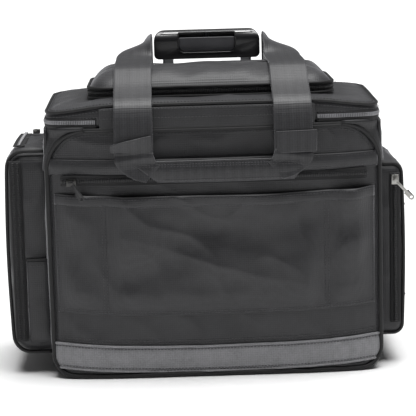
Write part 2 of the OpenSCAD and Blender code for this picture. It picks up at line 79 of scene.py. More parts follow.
def add(tree, kind, settings=(), links=()):
    """Adds a node, sets its settings, and links or sets its inputs by name or number."""
    made = tree.nodes.new(kind)
    for key, value in dict(settings).items():
        setattr(made, key, value)
    for key, value in dict(links).items():
        if isinstance(value, bpy.types.NodeSocket):
            tree.links.new(value, made.inputs[key])
        else:
            made.inputs[key].default_value = value
    return made


def start_material(name, roughness, **shader_values):
    """A new material with its shader, its tree and the piece's own coordinates."""
    material = bpy.data.materials.new(name)
    material.use_nodes = True
    tree = material.node_tree
    shader = tree.nodes["Principled BSDF"]
    shader.inputs["Roughness"].default_value = roughness
    for key, value in shader_values.items():
        shader.inputs[key.replace("_", " ")].default_value = value
    place = add(tree, "ShaderNodeTexCoord").outputs["Object"]
    return material, tree, shader, place


def bands(tree, place, direction, pitch, distortion=0.0):
    """Sine bands across one direction, one every pitch millimetres."""
    return add(
        tree,
        "ShaderNodeTexWave",
        {"wave_type": "BANDS", "bands_direction": direction, "wave_profile": "SIN"},
        {
            "Vector": place,
            "Scale": ONE_BAND / (pitch * MM),
            "Distortion": distortion,
            "Detail": 1.0,
            "Detail Scale": 0.4,
        },
    ).outputs["Fac"]


def speckle(tree, place, size, detail=2.0):
    """Soft noise whose patches are about size millimetres across."""
    return add(
        tree,
        "ShaderNodeTexNoise",
        {},
        {"Vector": place, "Scale": 1 / (size * MM), "Detail": detail, "Roughness": 0.55},
    ).outputs["Fac"]


def blend_colour(tree, factor, dark, light):
    """Blends two colours, each an sRGB hex value or a linear red, green and blue."""
    dark, light = [linear(colour) if isinstance(colour, str) else (*colour, 1.0) for colour in (dark, light)]
    return add(tree, "ShaderNodeMix", {"data_type": "RGBA"}, {0: factor, 6: dark, 7: light}).outputs[2]


def math_node(tree, operation, first, second):
    """One sum of two values."""
    return add(tree, "ShaderNodeMath", {"operation": operation}, {0: first, 1: second}).outputs[0]


def weighted(tree, *parts):
    """The sum of values, each with its weight."""
    scaled = [value if weight == 1 else math_node(tree, "MULTIPLY", value, weight) for value, weight in parts]
    total = scaled[0]
    for value in scaled[1:]:
        total = math_node(tree, "ADD", total, value)
    return total


def bumped(tree, shader, height, depth, strength=0.6):
    """Lets a height of 0 to 1 stand out by depth millimetres."""
    node = add(tree, "ShaderNodeBump", {}, {"Height": height, "Strength": strength, "Distance": depth * MM})
    tree.links.new(node.outputs[0], shader.inputs["Normal"])


def woven(name, dark, light, pitch, depth, roughness, sheen, mottle=14.0):
    """Woven cloth: two thread systems in whichever plane the cloth lies, and a soft mottle."""
    material, tree, shader, place = start_material(
        name, roughness, Sheen_Weight=sheen, Sheen_Roughness=0.35, Sheen_Tint=linear(SHEEN_TINT), Specular_IOR_Level=0.5
    )
    threads = math_node(
        tree, "MULTIPLY", weighted(tree, *[(bands(tree, place, way, pitch), 1) for way in "XZY"]), 0.3333
    )
    fuzz = speckle(tree, place, 1.7, 4.0)
    patches = speckle(tree, place, mottle)
    shade = weighted(tree, (threads, 0.3), (patches, 0.35), (math_node(tree, "POWER", fuzz, 2.0), 0.7))
    tree.links.new(blend_colour(tree, shade, dark, light), shader.inputs["Base Color"])
    bumped(tree, shader, weighted(tree, (threads, 1), (fuzz, 0.5)), depth)
    return material


def webbing_cloth(name, dark, light):
    """Nylon webbing: ribs that run the length of the strap, crossed by fine picks."""
    material, tree, shader, place = start_material(
        name, 0.5, Sheen_Weight=0.6, Sheen_Roughness=0.35, Sheen_Tint=linear(SHEEN_TINT), Specular_IOR_Level=0.5
    )
    ribs = weighted(tree, (bands(tree, place, "X", 11.5, 0.8), 0.4), (bands(tree, place, "X", 3.1, 0.8), 0.4))
    picks = weighted(tree, (bands(tree, place, "Z", 2.6, 2.0), 0.5), (bands(tree, place, "Y", 2.6, 2.0), 0.5))
    fuzz = math_node(tree, "POWER", speckle(tree, place, 1.8, 3.0), 2.0)
    shade = weighted(tree, (ribs, 0.32), (picks, 0.08), (fuzz, 0.6))
    tree.links.new(blend_colour(tree, shade, dark, light), shader.inputs["Base Color"])
    bumped(tree, shader, weighted(tree, (ribs, 1), (picks, 0.6)), 0.3)
    return material


def grained(name, dark, light, size, depth, roughness, **values):
    """A moulded surface with a fine spark-eroded grain and uneven polish from handling."""
    material, tree, shader, place = start_material(name, roughness, **values)
    grain = speckle(tree, place, size, 3.0)
    wear = speckle(tree, place, 22.0)
    tree.links.new(blend_colour(tree, wear, dark, light), shader.inputs["Base Color"])
    rough = add(
        tree, "ShaderNodeMapRange", {}, {"Value": wear, "To Min": roughness - 0.07, "To Max": roughness + 0.08}
    )
    tree.links.new(rough.outputs[0], shader.inputs["Roughness"])
    bumped(tree, shader, grain, depth)
    return material


def drawn_metal(name, dark, light, roughness, direction, pitch):
    """Drawn or polished metal with faint lines along the way it was worked."""
    material, tree, shader, place = start_material(name, roughness, Metallic=1.0)
    lines = bands(tree, place, direction, pitch, 4.0)
    haze = speckle(tree, place, 9.0)
    shade = weighted(tree, (lines, 0.35), (haze, 0.6))
    tree.links.new(blend_colour(tree, shade, dark, light), shader.inputs["Base Color"])
    rough = add(
        tree, "ShaderNodeMapRange", {}, {"Value": haze, "To Min": roughness - 0.08, "To Max": roughness + 0.1}
    )
    tree.links.new(rough.outputs[0], shader.inputs["Roughness"])
    bumped(tree, shader, lines, 0.03, 0.3)
    return material


FINISH = {}


def make_materials(look):
    """Every finish on the bag."""
    # 600-denier polyester, plain weave, coated behind: a dry dark cloth with a faint thread
    # grid. The real 0.6 mm thread is drawn at 2.7 mm so that it shows.
    FINISH["shell"] = woven("shell polyester weave", "#0e0e0f", "#333336", 2.7, 0.36, 0.52, 0.8)
    # The same cloth on the walls, a little flatter where it is padded from behind.
    FINISH["wall"] = woven("wall polyester weave", "#0d0d0e", "#27272a", 2.9, 0.36, 0.55, 0.6)
    # Fine twill lining that shows inside the lid and the case: smooth and slightly lighter.
    FINISH["lining"] = woven("lining nylon taffeta", "#2e2e31", "#4a4a4e", 1.2, 0.15, 0.6, 0.2)
    # Charcoal ballistic weave on the foot band: coarser and clearly lighter than the shell.
    FINISH["grey"] = woven("foot band grey weave", "#5e5e60", look.band, 2.9, 0.3, 0.62, 0.3)
    # Piping wrapped in bias-cut polyester: round, tight and almost matt, so it reads as a dark line.
    FINISH["piping"] = woven("piping bias binding", "#070708", "#161618", 2.1, 0.2, 0.66, 0.1)
    # Seat-belt style nylon webbing: lengthwise ribs that catch the light.
    FINISH["webbing"] = webbing_cloth("webbing nylon", "#151517", "#424245")
    # Knitted zip tape: matt, fine and darker than the shell.
    FINISH["tape"] = woven("zip tape knit", "#0e0e0f", "#1e1e20", 1.2, 0.15, 0.8, 0.15)
    # Nylon monofilament coil: small glossy teeth.
    FINISH["coil"] = grained("zip coil nylon", "#5c5c5e", "#9a9a9e", 0.8, 0.03, 0.35)
    # The same coil made black as painted shade, for the zips that lie in shadow under a welt.
    FINISH["coil_painted_shade"] = grained("zip coil nylon darkened as painted shade", "#111112", "#2c2c2e", 0.8, 0.03, 0.4)
    # Bonded polyester thread: a shade paler than the cloth, so each seam reads as a dotted line.
    FINISH["thread"] = grained("seam thread polyester", "#2c2c2e", "#4a4a4d", 0.7, 0.05, 0.55)
    # Grained black ABS of the bezel, housings and foot: matt with soft highlights.
    FINISH["moulding"] = grained("housing ABS", "#121213", "#1d1d1f", 0.7, 0.08, 0.5)
    # Smooth black nylon of the grip: glossy shoulders, polished by hands.
    FINISH["grip"] = grained(
        "grip nylon", "#151517", "#242427", 0.9, 0.03, 0.34, Coat_Weight=0.5, Coat_Roughness=0.15
    )
    # Grey ABS of the release paddle: satin; part of its pale grey is painted light, standing for the lit floor of the
    # finger scoop under the grip's lip.
    FINISH["paddle"] = grained("paddle ABS with painted light", "#4c4c50", "#66666a", 0.8, 0.05, 0.42)
    # Clear-anodised aluminium tube: satin, drawn along its length.
    FINISH["tube"] = drawn_metal("tube anodised aluminium", "#a4a6a9", "#d2d4d6", 0.32, "X", 0.8)
    # Nickel-plated zinc slider: bright with cloudy polish.
    FINISH["slider"] = drawn_metal("slider nickel plate", "#7b7a78", "#b4b3af", 0.3, "Z", 1.4)
    # Black-nickel plated zinc slider of the front zip: dark, with a narrow glint.
    FINISH["slider_dark"] = drawn_metal("slider gunmetal plate", "#2a2a2b", "#5c5b59", 0.3, "Z", 1.4)
    # Zinc-plated steel screws, axles and rods: greyer and duller.
    FINISH["steel"] = drawn_metal("screw zinc-plated steel", "#8d9094", "#b9bcc0", 0.35, "Y", 1.1)
    # Oil-blackened music wire of the return spring: dark with a soft edge of light.
    FINISH["spring"] = drawn_metal("spring black oxide wire", "#1c1d1f", "#3a3b3e", 0.4, "Z", 1.0)
    # Dark rubberised pull tab: soft sheen.
    FINISH["pull"] = grained("pull tab rubber", "#1a1a1b", "#2e2e30", 0.9, 0.06, 0.45)
    # Polyurethane tyre: dull, dusty in its grain.
    FINISH["tyre"] = grained("tyre polyurethane", "#161617", "#2b2b2b", 1.6, 0.15, 0.62)
    # Grey polypropylene hub: satin moulded face.
    FINISH["hub"] = grained("hub polypropylene", "#48484b", "#5e5e62", 1.0, 0.06, 0.45)
    # Card-stiffened base in black polypropylene sheet: pebbled.
    FINISH["base"] = grained("base polypropylene sheet", "#141415", "#212123", 1.4, 0.2, 0.55)


# ---- Shared modelling, all in millimetres ----


def place_piece(obj, body, finish, nodes=()):
    """Gives a piece its finish, its body (none if it is blended), its slot and its nodes."""
    obj.data.materials.clear()
    obj.data.materials.append(FINISH[finish])
    if body:
        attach(obj, body)
    if nodes:
        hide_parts(*nodes)
    return obj


def cord(name, path, radius, body, slot, finish, nodes=(), loop=False, sides=10):
    """A round cord along a path, put in its place."""
    return place_piece(tube(name, path, radius, loop, sides), body, finish, nodes)


def select_only(obj):
    """Selects one object and makes it the active one."""
    bpy.ops.object.select_all(action="DESELECT")
    obj.select_set(True)
    bpy.context.view_layer.objects.active = obj


def apply_all(obj):
    """Applies every modifier of an object, in order."""
    select_only(obj)
    for modifier in list(obj.modifiers):
        bpy.ops.object.modifier_apply(modifier=modifier.name)


def mesh_piece(name, verts, faces, closed=False):
    """A mesh object from points in millimetres, shaded smooth; a closed one faces outwards."""
    mesh = bpy.data.meshes.new(name)
    mesh.from_pydata([tuple(c * MM for c in v) for v in verts], [], faces)
    mesh.update()
    obj = bpy.data.objects.new(name, mesh)
    bpy.context.scene.collection.objects.link(obj)
    if closed:
        work = bmesh.new()
        work.from_mesh(mesh)
        bmesh.ops.remove_doubles(work, verts=work.verts, dist=1e-6)
        bmesh.ops.recalc_face_normals(work, faces=work.faces)
        work.to_mesh(mesh)
        work.free()
    for polygon in mesh.polygons:
        polygon.use_smooth = True
    return obj


def loft(name, rows, loop=False, caps=False, closed=False):
    """A skin through rows of points; loop joins each row's ends, caps fills the end rows."""
    count = len(rows[0])
    verts = [p for row in rows for p in row]
    faces = []
    for i in range(len(rows) - 1):
        for j in range(count if loop else count - 1):
            k = (j + 1) % count
            faces.append((i * count + j, i * count + k, (i + 1) * count + k, (i + 1) * count + j))
    if caps:
        faces.append(tuple(range(count))[::-1])
        faces.append(tuple((len(rows) - 1) * count + j for j in range(count)))
    return mesh_piece(name, verts, faces, closed or caps)


def thicken(obj, thickness, offset=-1.0):
    """Gives a sheet its thickness in millimetres."""
    solid = obj.modifiers.new("thickness", "SOLIDIFY")
    solid.thickness = thickness * MM
    solid.offset = offset
    apply_all(obj)
    for polygon in obj.data.polygons:
        polygon.use_smooth = True
    return obj


def sew(name, rows, thickness, body, finish, nodes=(), offset=-1.0):
    """A sheet lofted through rows of points, given its thickness and put in its place."""
    return place_piece(thicken(loft(name, rows), thickness, offset), body, finish, nodes)


def round_edges(obj, name, width, segments, angle):
    """Rounds the edges that are sharper than angle degrees."""
    bevel = obj.modifiers.new(name, "BEVEL")
    bevel.width = width * MM
    bevel.segments = segments
    bevel.limit_method = "ANGLE"
    bevel.angle_limit = math.radians(angle)
    apply_all(obj)


def turn_faces_out(obj, outwards=None):
    """Recalculates the normals; where outwards sums to less than nothing, they are turned round."""
    work = bmesh.new()
    work.from_mesh(obj.data)
    bmesh.ops.recalc_face_normals(work, faces=work.faces)
    if outwards and sum(outwards(face) for face in work.faces) < 0:
        bmesh.ops.reverse_faces(work, faces=work.faces)
    work.to_mesh(obj.data)
    work.free()


def cut_box(obj, low, high):
    """Cuts a box out of a sheet, so that a moulding can pass through it."""
    work = bmesh.new()
    work.from_mesh(obj.data)
    for axis in range(3):
        for corner in (low, high):
            normal = Vector((0, 0, 0))
            normal[axis] = 1
            point = Vector(corner) * MM
            bmesh.ops.bisect_plane(
                work, geom=work.verts[:] + work.edges[:] + work.faces[:], plane_co=point, plane_no=normal, dist=1e-7
            )
    inside = []
    for face in work.faces:
        c = face.calc_center_median() / MM
        if all(low[a] < c[a] < high[a] for a in range(3)):
            inside.append(face)
    bmesh.ops.delete(work, geom=inside, context="FACES")
    work.to_mesh(obj.data)
    work.free()


def tube(name, path, radius, loop=False, sides=10):
    """A round cord along a path."""
    rows = []
    count = len(path)
    last_side = None
    for i, point in enumerate(path):
        ahead = path[(i + 1) % count] if loop or i + 1 < count else path[i]
        back = path[i - 1] if loop or i else path[i]
        along = (Vector(ahead) - Vector(back)).normalized()
        if last_side is None:
            side = along.cross(UP)
            if side.length < 0.2:
                side = along.cross(BACK)
        else:
            side = last_side - along * last_side.dot(along)
        side.normalize()
        last_side = side
        other = along.cross(side)
        rows.append(
            [
                tuple(
                    Vector(point)
                    + side * radius * math.cos(2 * math.pi * k / sides)
                    + other * radius * math.sin(2 * math.pi * k / sides)
                )
                for k in range(sides)
            ]
        )
    if loop:
        rows.append(rows[0])
    return loft(name, rows, loop=True, caps=not loop, closed=True)


def along_path(path, step, loop=False):
    """Points every step millimetres on a path, each with its direction."""
    points = [Vector(p) for p in path] + ([Vector(path[0])] if loop else [])
    found = []
    left = step / 2
    for a, b in zip(points, points[1:]):
        length = (b - a).length
        if length < 1e-9:
            continue
        while left <= length:
            found.append((a + (b - a) * (left / length), (b - a) / length))
            left += step
        left -= length
    return found


def stitches(name, paths, out, body, step=4.2, length=2.9, radius=0.42):
    """Rows of sewn stitches: one small spindle of thread each, lying on the cloth."""
    verts, faces = [], []
    for path in paths:
        for point, along in along_path(path, step):
            side = along.cross(out)
            if side.length < 0.1:
                side = along.cross(Vector((1, 0, 0)))
            side.normalize()
            lift = side.cross(along)
            base = len(verts)
            for place, size in ((-0.5, 0.35), (-0.2, 1.0), (0.2, 1.0), (0.5, 0.35)):
                for k in range(6):
                    turn = math.pi * k / 3
                    verts.append(
                        tuple(
                            point
                            + along * length * place
                            + side * radius * size * math.cos(turn)
                            + lift * radius * size * math.sin(turn)
                        )
                    )
            for ring in range(3):
                for k in range(6):
                    n = (k + 1) % 6
                    faces.append(
                        (
                            base + ring * 6 + k,
                            base + ring * 6 + n,
                            base + ring * 6 + 6 + n,
                            base + ring * 6 + 6 + k,
                        )
                    )
            faces.append(tuple(base + k for k in range(6))[::-1])
            faces.append(tuple(base + 18 + k for k in range(6)))
    obj = mesh_piece(name, verts, faces, True)
    return place_piece(obj, body, "thread")


def teeth(name, paths, out, body, width=5.0, step=2.2, loop=False, finish="coil"):
    """A closed coil zip: a row of small rounded teeth across each path."""
    verts, faces = [], []
    for path in paths:
        for point, along in along_path(path, step, loop):
            face_out = out(point) if callable(out) else out
            side = along.cross(face_out).normalized()
            half = step * 0.36
            base = len(verts)
            for across, height in (
                (-0.5, 0.0), (-0.42, 0.8), (-0.12, 1.1), (0.12, 1.1), (0.42, 0.8), (0.5, 0.0)
            ):
                for way in (-1, 1):
                    shrink = 0.6 if height > 0.9 else 1.0
                    verts.append(
                        tuple(point + side * width * across + face_out * height + along * half * way * shrink)
                    )
            for k in range(5):
                a = base + 2 * k
                faces.append((a, a + 1, a + 3, a + 2))
            faces.append(tuple(base + 2 * k for k in range(6))[::-1])
            faces.append(tuple(base + 2 * k + 1 for k in range(6)))
            faces.append((base, base + 10, base + 11, base + 1))
    obj = mesh_piece(name, verts, faces, True)
    return place_piece(obj, body, finish)


def soften(node, body, finish, width, segments=2, name=None):
    """A copy of a hard part with its edges rounded by width millimetres, in its place."""
    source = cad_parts[node]
    obj = bpy.data.objects.new(name or node + "_moulded", source.data.copy())
    bpy.context.scene.collection.objects.link(obj)
    work = bmesh.new()
    work.from_mesh(obj.data)
    bmesh.ops.remove_doubles(work, verts=work.verts, dist=2e-6)
    bmesh.ops.dissolve_limit(work, angle_limit=math.radians(1.5), verts=work.verts, edges=work.edges)
    work.to_mesh(obj.data)
    work.free()
    round_edges(obj, "edges", width, segments, 32)
    bpy.ops.object.shade_smooth_by_angle(angle=math.radians(34))
    return place_piece(obj, body, finish, [node])


def crease(x, y, z, size, seed):
    """Ridged noise between 0 and 1, sharp along its folds, as cloth creases are."""
    value = noise.noise(Vector((x / size + seed, y / size, z / size)))
    return (1 - min(1, abs(value) * 2.2)) ** 3


def soft(x, y, z, size, seed):
    """Soft noise between about -1 and 1, whose lumps are size millimetres across."""
    return noise.noise(Vector((x / size + seed, y / size - seed, z / size)))


def smooth_step(value, low, high):
    """0 below low, 1 above high, and an easy curve between them."""
    t = min(1.0, max(0.0, (value - low) / (high - low)))
    return t * t * (3 - 2 * t)


def arch(t):
    """0 at 0 and at 1, and 1 between them."""
    return math.sin(math.pi * t)


def spread(low, high, count):
    """Even steps from low to high."""
    return [low + (high - low) * i / (count - 1) for i in range(count)]


# ---- The bag's surfaces, in millimetres ----

HALF_W = 210.0
CASE_FRONT = -108.0
REAR = 108.0
LID_LOW = 320.8
LID_TOP = 349.8


def bulge_at(x, sizes):
    """How far the front face stands forward of its ends at a place across it."""
    return sizes.bulge * 1000 * (1 - min(1.0, abs(x) / HALF_W) ** 6)


def front_at(x, z, sizes):
    """The front face of the case, with the slack of cloth over its padding."""
    puff = 1.6 * math.sin(math.pi * min(1, max(0, (z - 6) / 308)))
    edge = min(1.0, (HALF_W - abs(x)) / 40)
    slack = 2.4 * soft(x, 0, z, 80, 3.1) * edge + 1.5 * crease(x + 0.5 * z, 0, z, 75, 11.0) * edge
    return CASE_FRONT - bulge_at(x, sizes) - puff * edge - slack + 0.4


def droop(x, sizes):
    """How far a seam across the front hangs lower in its middle than at its ends."""
    return sizes.seam_droop * 1000 * (1 - min(1.0, abs(x) / 196) ** 2.4)


def panel_half(z):
    """Half the front panel's width at a height, inside its piping."""
    half, top_r, low_r = 205.0, 48.0, 24.0
    if z > 314 - top_r:
        return half - top_r + math.sqrt(max(0.0, top_r**2 - (z - 314 + top_r) ** 2))
    if z < 6 + low_r:
        return half - low_r + math.sqrt(max(0.0, low_r**2 - (6 + low_r - z) ** 2))
    return half


def plan_outline(inset, count=168):
    """The lid's outline seen from above, set in from its edge, starting at the rear middle."""
    half, r = 208.0 - inset, max(4.0, 34.0 - inset)
    flat = half - r
    front = []
    for i in range(121):
        x = -half + 2 * half * i / 120
        a = abs(x)
        y = CASE_FRONT - 14 * (1 - (a / HALF_W) ** 6) + inset
        if a > flat:
            y = max(y, -122 + inset + r - math.sqrt(max(0.0, r * r - (a - flat) ** 2)))
        front.append((x, y))
    rear = []
    for i in range(61):
        x = half - 2 * half * i / 60
        a = abs(x)
        drop = r - math.sqrt(max(0.0, r * r - (a - flat) ** 2)) if a > flat else 0.0
        rear.append((x, REAR - inset - drop))
    loop = rear[30:] + front + rear[:30]
    points = [Vector((p[0], p[1], 0)) for p in loop]
    lengths = [0.0]
    for a, b in zip(points, points[1:] + points[:1]):
        lengths.append(lengths[-1] + (b - a).length)
    total = lengths[-1]
    found = []
    j = 0
    for i in range(count):
        want = total * i / count
        while lengths[j + 1] < want:
            j += 1
        a, b = points[j], points[(j + 1) % len(points)]
        share = (want - lengths[j]) / max(1e-9, lengths[j + 1] - lengths[j])
        found.append((a + (b - a) * share).to_tuple()[:2])
    return found


def lid_sag(x, y, z):
    """How far the lid's corners hang below its middle."""
    side = smooth_step(abs(x), 118, 208)
    ends = 0.55 + 0.45 * smooth_step(-y, -60, 120)
    return 8.5 * side * ends * smooth_step(z, LID_LOW + 1, LID_TOP - 6)


def lid_ring(inset, z, wave=0.0):
    """The lid's outline at a height, with its sag and a little wave."""
    ring = []
    for x, y in plan_outline(inset):
        lift = wave * soft(x, y, z, 46, 5.0)
        ring.append((x, y, z - lid_sag(x, y, z) + lift))
    return ring


def rounded_ring(width, depth, r, middle_y, z, per_corner=12, per_side=22):
    """A rounded rectangle seen from above."""
    corners = []
    for cx, cy, start in ((1, 1, 0), (-1, 1, 90), (-1, -1, 180), (1, -1, 270)):
        x, y = cx * (width / 2 - r), middle_y + cy * (depth / 2 - r)
        turns = [math.radians(start + 90 * i / per_corner) for i in range(per_corner + 1)]
        corners.append([(x + r * math.cos(turn), y + r * math.sin(turn)) for turn in turns])
    points = []
    for corner, following in zip(corners, corners[1:] + corners[:1]):
        (ax, ay), (bx, by) = corner[-1], following[0]
        points += corner
        points += [(ax + (bx - ax) * i / per_side, ay + (by - ay) * i / per_side) for i in range(1, per_side)]
    return [(x, y, z) for x, y in points]


def corner_arcs(half, low, high, top_r, low_r, steps):
    """The four corners of an upright rounded frame, across and up, joined by straight runs."""
    path = []
    for way, top, start in ((1, True, 0), (-1, True, 90), (-1, False, 180), (1, False, 270)):
        r = top_r if top else low_r
        middle = (way * (half - r), high - r if top else low + r)
        for i in range(steps + 1):
            turn = math.radians(start + 90 * i / steps)
            path.append((middle[0] + r * math.cos(turn), middle[1] + r * math.sin(turn)))
    return path


# ---- Case ----


def make_front(sizes):
    """The front panel, its piping, and the welt and the grey band sewn on it."""
    rows = []
    heights = [6.2, 7.5, 10, 14, 19, 25] + spread(30, 262, 52) + spread(266, 306, 14) + [309, 311.5, 313.3, 313.9]
    for z in heights:
        half = panel_half(z)
        rows.append([(x * half, front_at(x * half, z, sizes), z) for x in spread(-1, 1, 110)])
    sew("front_panel_cloth", rows, 4.5, "case", "shell", ["front_panel"])

    path = corner_arcs(207.5, 3.6, 316.5, 50.5, 26.5, 18)
    full = []
    for a, b in zip(path, path[1:] + path[:1]):
        parts = max(1, round(math.dist(a, b) / 8))
        for i in range(parts):
            x, z = a[0] + (b[0] - a[0]) * i / parts, a[1] + (b[1] - a[1]) * i / parts
            full.append((x, CASE_FRONT - bulge_at(x, sizes) - 0.9 + 0.5 * soft(x, 0, z, 60, 2.0), z))
    cord("front_piping_cord", full, 3.0, "case", "piping", "piping", ["front_piping"], loop=True, sides=12)
    top = [
        (x, CASE_FRONT - bulge_at(x, sizes) - 2.6, 314.2 - 0.5 * soft(x, 0, 0, 50, 9.0))
        for x in spread(-160, 160, 80)
    ]
    cord("front_piping_top", top, 2.6, "case", "piping", "piping", sides=12)
    seam = [(x * 0.9745, y - 1.6, 161 + (z - 161) * 0.963) for x, y, z in full]
    stitches("front_piping_stitches", [seam + seam[:1]], FRONT, "case")

    for name, low, high, lift, extra in (
        ("grey_band_cloth", 14.5, 46.5, 2.4, 0.6),
        ("welt_cloth", 261.6, 281.4, 2.9, 1.1),
    ):
        rows = []
        for i in range(11):
            t = i / 10
            row = []
            for u in spread(-1, 1, 110):
                z_end = low + (high - low) * t
                x = u * (panel_half(z_end + 2) + 0.6)
                hang = droop(x, sizes) * (1.0 if name == "grey_band_cloth" else 0.35)
                z = z_end - hang
                rise = lift * (0.55 + 0.45 * arch(t)) + extra * arch(t)
                rise += 0.5 * soft(x, 1, z, 30, 7.0)
                row.append((x, front_at(x, z, sizes) - rise, z))
            rows.append(row)
        piece = loft(name, rows)
        thicken(piece, 1.6, -1.0)
        grey = name == "grey_band_cloth"
        slot, finish, node = ("grey_fabric", "grey", "grey_band") if grey else (
            "shell_fabric", "shell", "pocket_welt"
        )
        place_piece(piece, "case", finish, [node])
        if grey:
            for number, row in enumerate((rows[0], rows[-1])):
                line = [(x, y - 0.5, z) for x, y, z in row]
                cord(f"grey_band_edge_{number}", line, 1.5, "case", "grey_fabric", "grey", sides=8)
        rims = [
            [(x, y - 1.0, z + (3.4 if row is rows[0] else -3.4)) for x, y, z in row]
            for row in (rows[0], rows[-1])
        ]
        stitches(name + "_stitches", rims, FRONT, "case")

    lines = []
    for z_end in (51.0, 54.5):
        lines.append(
            [
                (x, front_at(x, z_end - droop(x, sizes), sizes) - 0.5, z_end - droop(x, sizes))
                for x in spread(-200, 200, 90)
            ]
        )
    stitches("foot_seam_stitches", lines, FRONT, "case")


def make_front_pockets(sizes):
    """The slip pocket with its hem and dividing seams, and the zip above it."""
    end, split = 200.0, 139.0
    rows = []
    low, high = 87.0, 236.0

    def pocket_depth(x, z):
        """How far the pocket's cloth stands off the front panel."""
        near = min(abs(abs(x) - split), end - abs(x))
        slack = smooth_step(near, 0, 26) * smooth_step(z, low, low + 30)
        gape = 2.2 * smooth_step(z, 190, high) * smooth_step(near, 4, 50)
        right = 2.5 * smooth_step(x, 60, 190) * smooth_step(z, 200, high)
        folds = 2.2 * crease(x * 0.5 + z * 0.5, 2, z * 0.7 - x * 0.15, 90, 21.0) * slack
        folds += 6.5 * soft(x, 2, z * 1.3, 74, 31.0) * slack + 1.6 * soft(x, 2, z, 30, 51.0) * slack
        return 1.4 + 5.2 * slack + gape + right + folds

    for z_end in spread(low, high, 62):
        row = []
        for x in spread(-end, end, 150):
            share = 1 - smooth_step(z_end, 120, 236) * 0.45
            z = z_end - droop(x, sizes) * share + 2.0 * soft(x, 9, z_end, 90, 1.0) * smooth_step(z_end, 200, 236)
            row.append((x, front_at(x, z, sizes) - pocket_depth(x, z_end), z))
        rows.append(row)
    sew("slip_pocket_cloth", rows, 1.4, "case", "shell", ["slip_pocket"])
    hem = [[(x, y - 1.0 - 0.5 * math.sin(math.pi * t / 5), z) for x, y, z in rows[-6 + t]] for t in range(6)]
    hem[-1] = [(x, y + 0.4, z + 0.8) for x, y, z in hem[-1]]
    sew("slip_pocket_hem", hem, 1.2, "case", "shell")
    lines = [[(x, y - 0.5, z) for x, y, z in rows[-6]], [(x, y - 1.5, z) for x, y, z in rows[-2]]]
    lines += [[(x, y - 0.1, z) for x, y, z in rows[k]] for k in (1, 2)]
    for place in (-split - 2.2, -split + 2.2, split - 2.2, split + 2.2, -end + 2.5, end - 2.5):
        column = [min(row, key=lambda p: abs(p[0] - place)) for row in rows[1:-1]]
        lines.append([(place, y - 0.1, z) for x, y, z in column])
    stitches("slip_pocket_stitches", lines, FRONT, "case")

    rows = []
    for t in range(7):
        z = 247.2 + 13.6 * t / 6
        rows.append(
            [(
                x,
                min(-118.2 - 5.6 * (1 - (abs(x) / 191) ** 10), front_at(x, z, sizes) - 0.6) - (
                    0.9 if t in (2, 3, 4) else 0
                ),
                z,
            )
             for x in spread(-190.5, 190.5, 90)]
        )
    sew("front_zip_tape", rows, 1.2, "case", "tape", ["front_zip"])
    line = [(x, y - 0.1, 254.0) for x, y, _ in rows[3]]
    teeth("front_zip_teeth", [line], FRONT, "case", 5.4, finish="coil_painted_shade")


WHEEL_X = 172.0


def cut_wheel_wells(piece, low_y):
    """Opens the cloth where the two wheel housings pass through it."""
    for way in (-1, 1):
        cut_box(piece, (way * WHEEL_X - 22, low_y, -5), (way * WHEEL_X + 22, 130, 72.5))


def make_side_walls(sizes):
    """The two side walls, swollen and creased, each turned under at its foot."""
    for side, name, node in ((-1, "left_wall_cloth", "left_gusset"), (1, "right_wall_cloth", "right_gusset")):
        path = [(HALF_W, z, 0.0) for z in spread(318.5, 28, 46)]
        for i in range(1, 13):
            turn = math.radians(90 * i / 12)
            path.append((182 + 28 * math.cos(turn), 28 - 28 * math.sin(turn), turn))
        rows = []
        for x, z, turn in path:
            row = []
            for v in spread(0, 1, 46):
                y = -106 + 213.5 * v
                swell = sizes.wall_swell * 1000 * math.sin(math.pi * min(1, max(0, v))) ** 0.55
                swell *= smooth_step(z, 0, 60) * (1 - 0.75 * smooth_step(z, 285, 319))
                folds = (
                    1.6 * crease(y, 4, z + 0.5 * y, 60, 40.0 + side) + 1.4 * soft(4, y, z, 50, 8.0 + side)
                ) * smooth_step(z, 0, 40)
                folds *= smooth_step(min(v, 1 - v), 0, 0.08)
                if z > 316:
                    folds *= 0.3
                out = swell + folds
                if side > 0:
                    # The pull of the zip lies against this strip of the wall when it is turned right in.
                    out *= 1 - (1 - smooth_step(y, -95, -82)) * smooth_step(z, 14, 30) * (
                        1 - smooth_step(z, 226, 242)
                    )
                row.append((side * (x + out * math.cos(turn)), y, max(0.0, z - out * math.sin(turn))))
            rows.append(row if side > 0 else row[::-1])
        wall = loft(name, rows)
        cut_wheel_wells(wall, 72)
        turn_faces_out(wall, lambda face: face.calc_center_median().x * face.normal.x)
        thicken(wall, 4.0, -1.0)
        place_piece(wall, "case", "wall", [node])


def make_rear():
    """The rear panel and the piping down its two edges."""
    rows = []
    for z in [0.8, 2.5, 5, 9, 14, 20, 27] + spread(34, 318.5, 50):
        low = 28.0
        half = 208.6 if z > low else 208.6 - low + math.sqrt(max(0.0, low * low - (low - z) ** 2))
        row = []
        for u in spread(-1, 1, 80):
            x = u * half
            pad = 1.6 * math.sin(math.pi * (u + 1) / 2) ** 0.5 * smooth_step(z, 4, 40)
            folds = 0.9 * soft(x, 7, z, 60, 17.0) + 0.8 * crease(x, 7, z, 75, 27.0)
            row.append((x, REAR - 1.7 + pad * 0.6 + folds * 0.5, z))
        rows.append(row[::-1])
    rear = loft("rear_panel_cloth", rows)
    cut_wheel_wells(rear, 60)
    thicken(rear, 4.0, -1.0)
    place_piece(rear, "case", "shell", ["rear_panel"])
    for side, word in ((-1, "left"), (1, "right")):
        cord = tube(
            f"rear_piping_{word}", [
                (side * (207.4 + 0.3 * soft(0, 0, z, 40, side)), 108.9, z)
                for z in spread(74, 316, 60)
            ], 2.5, sides=10
        )
        place_piece(cord, "case", "piping", ["rear_piping"])


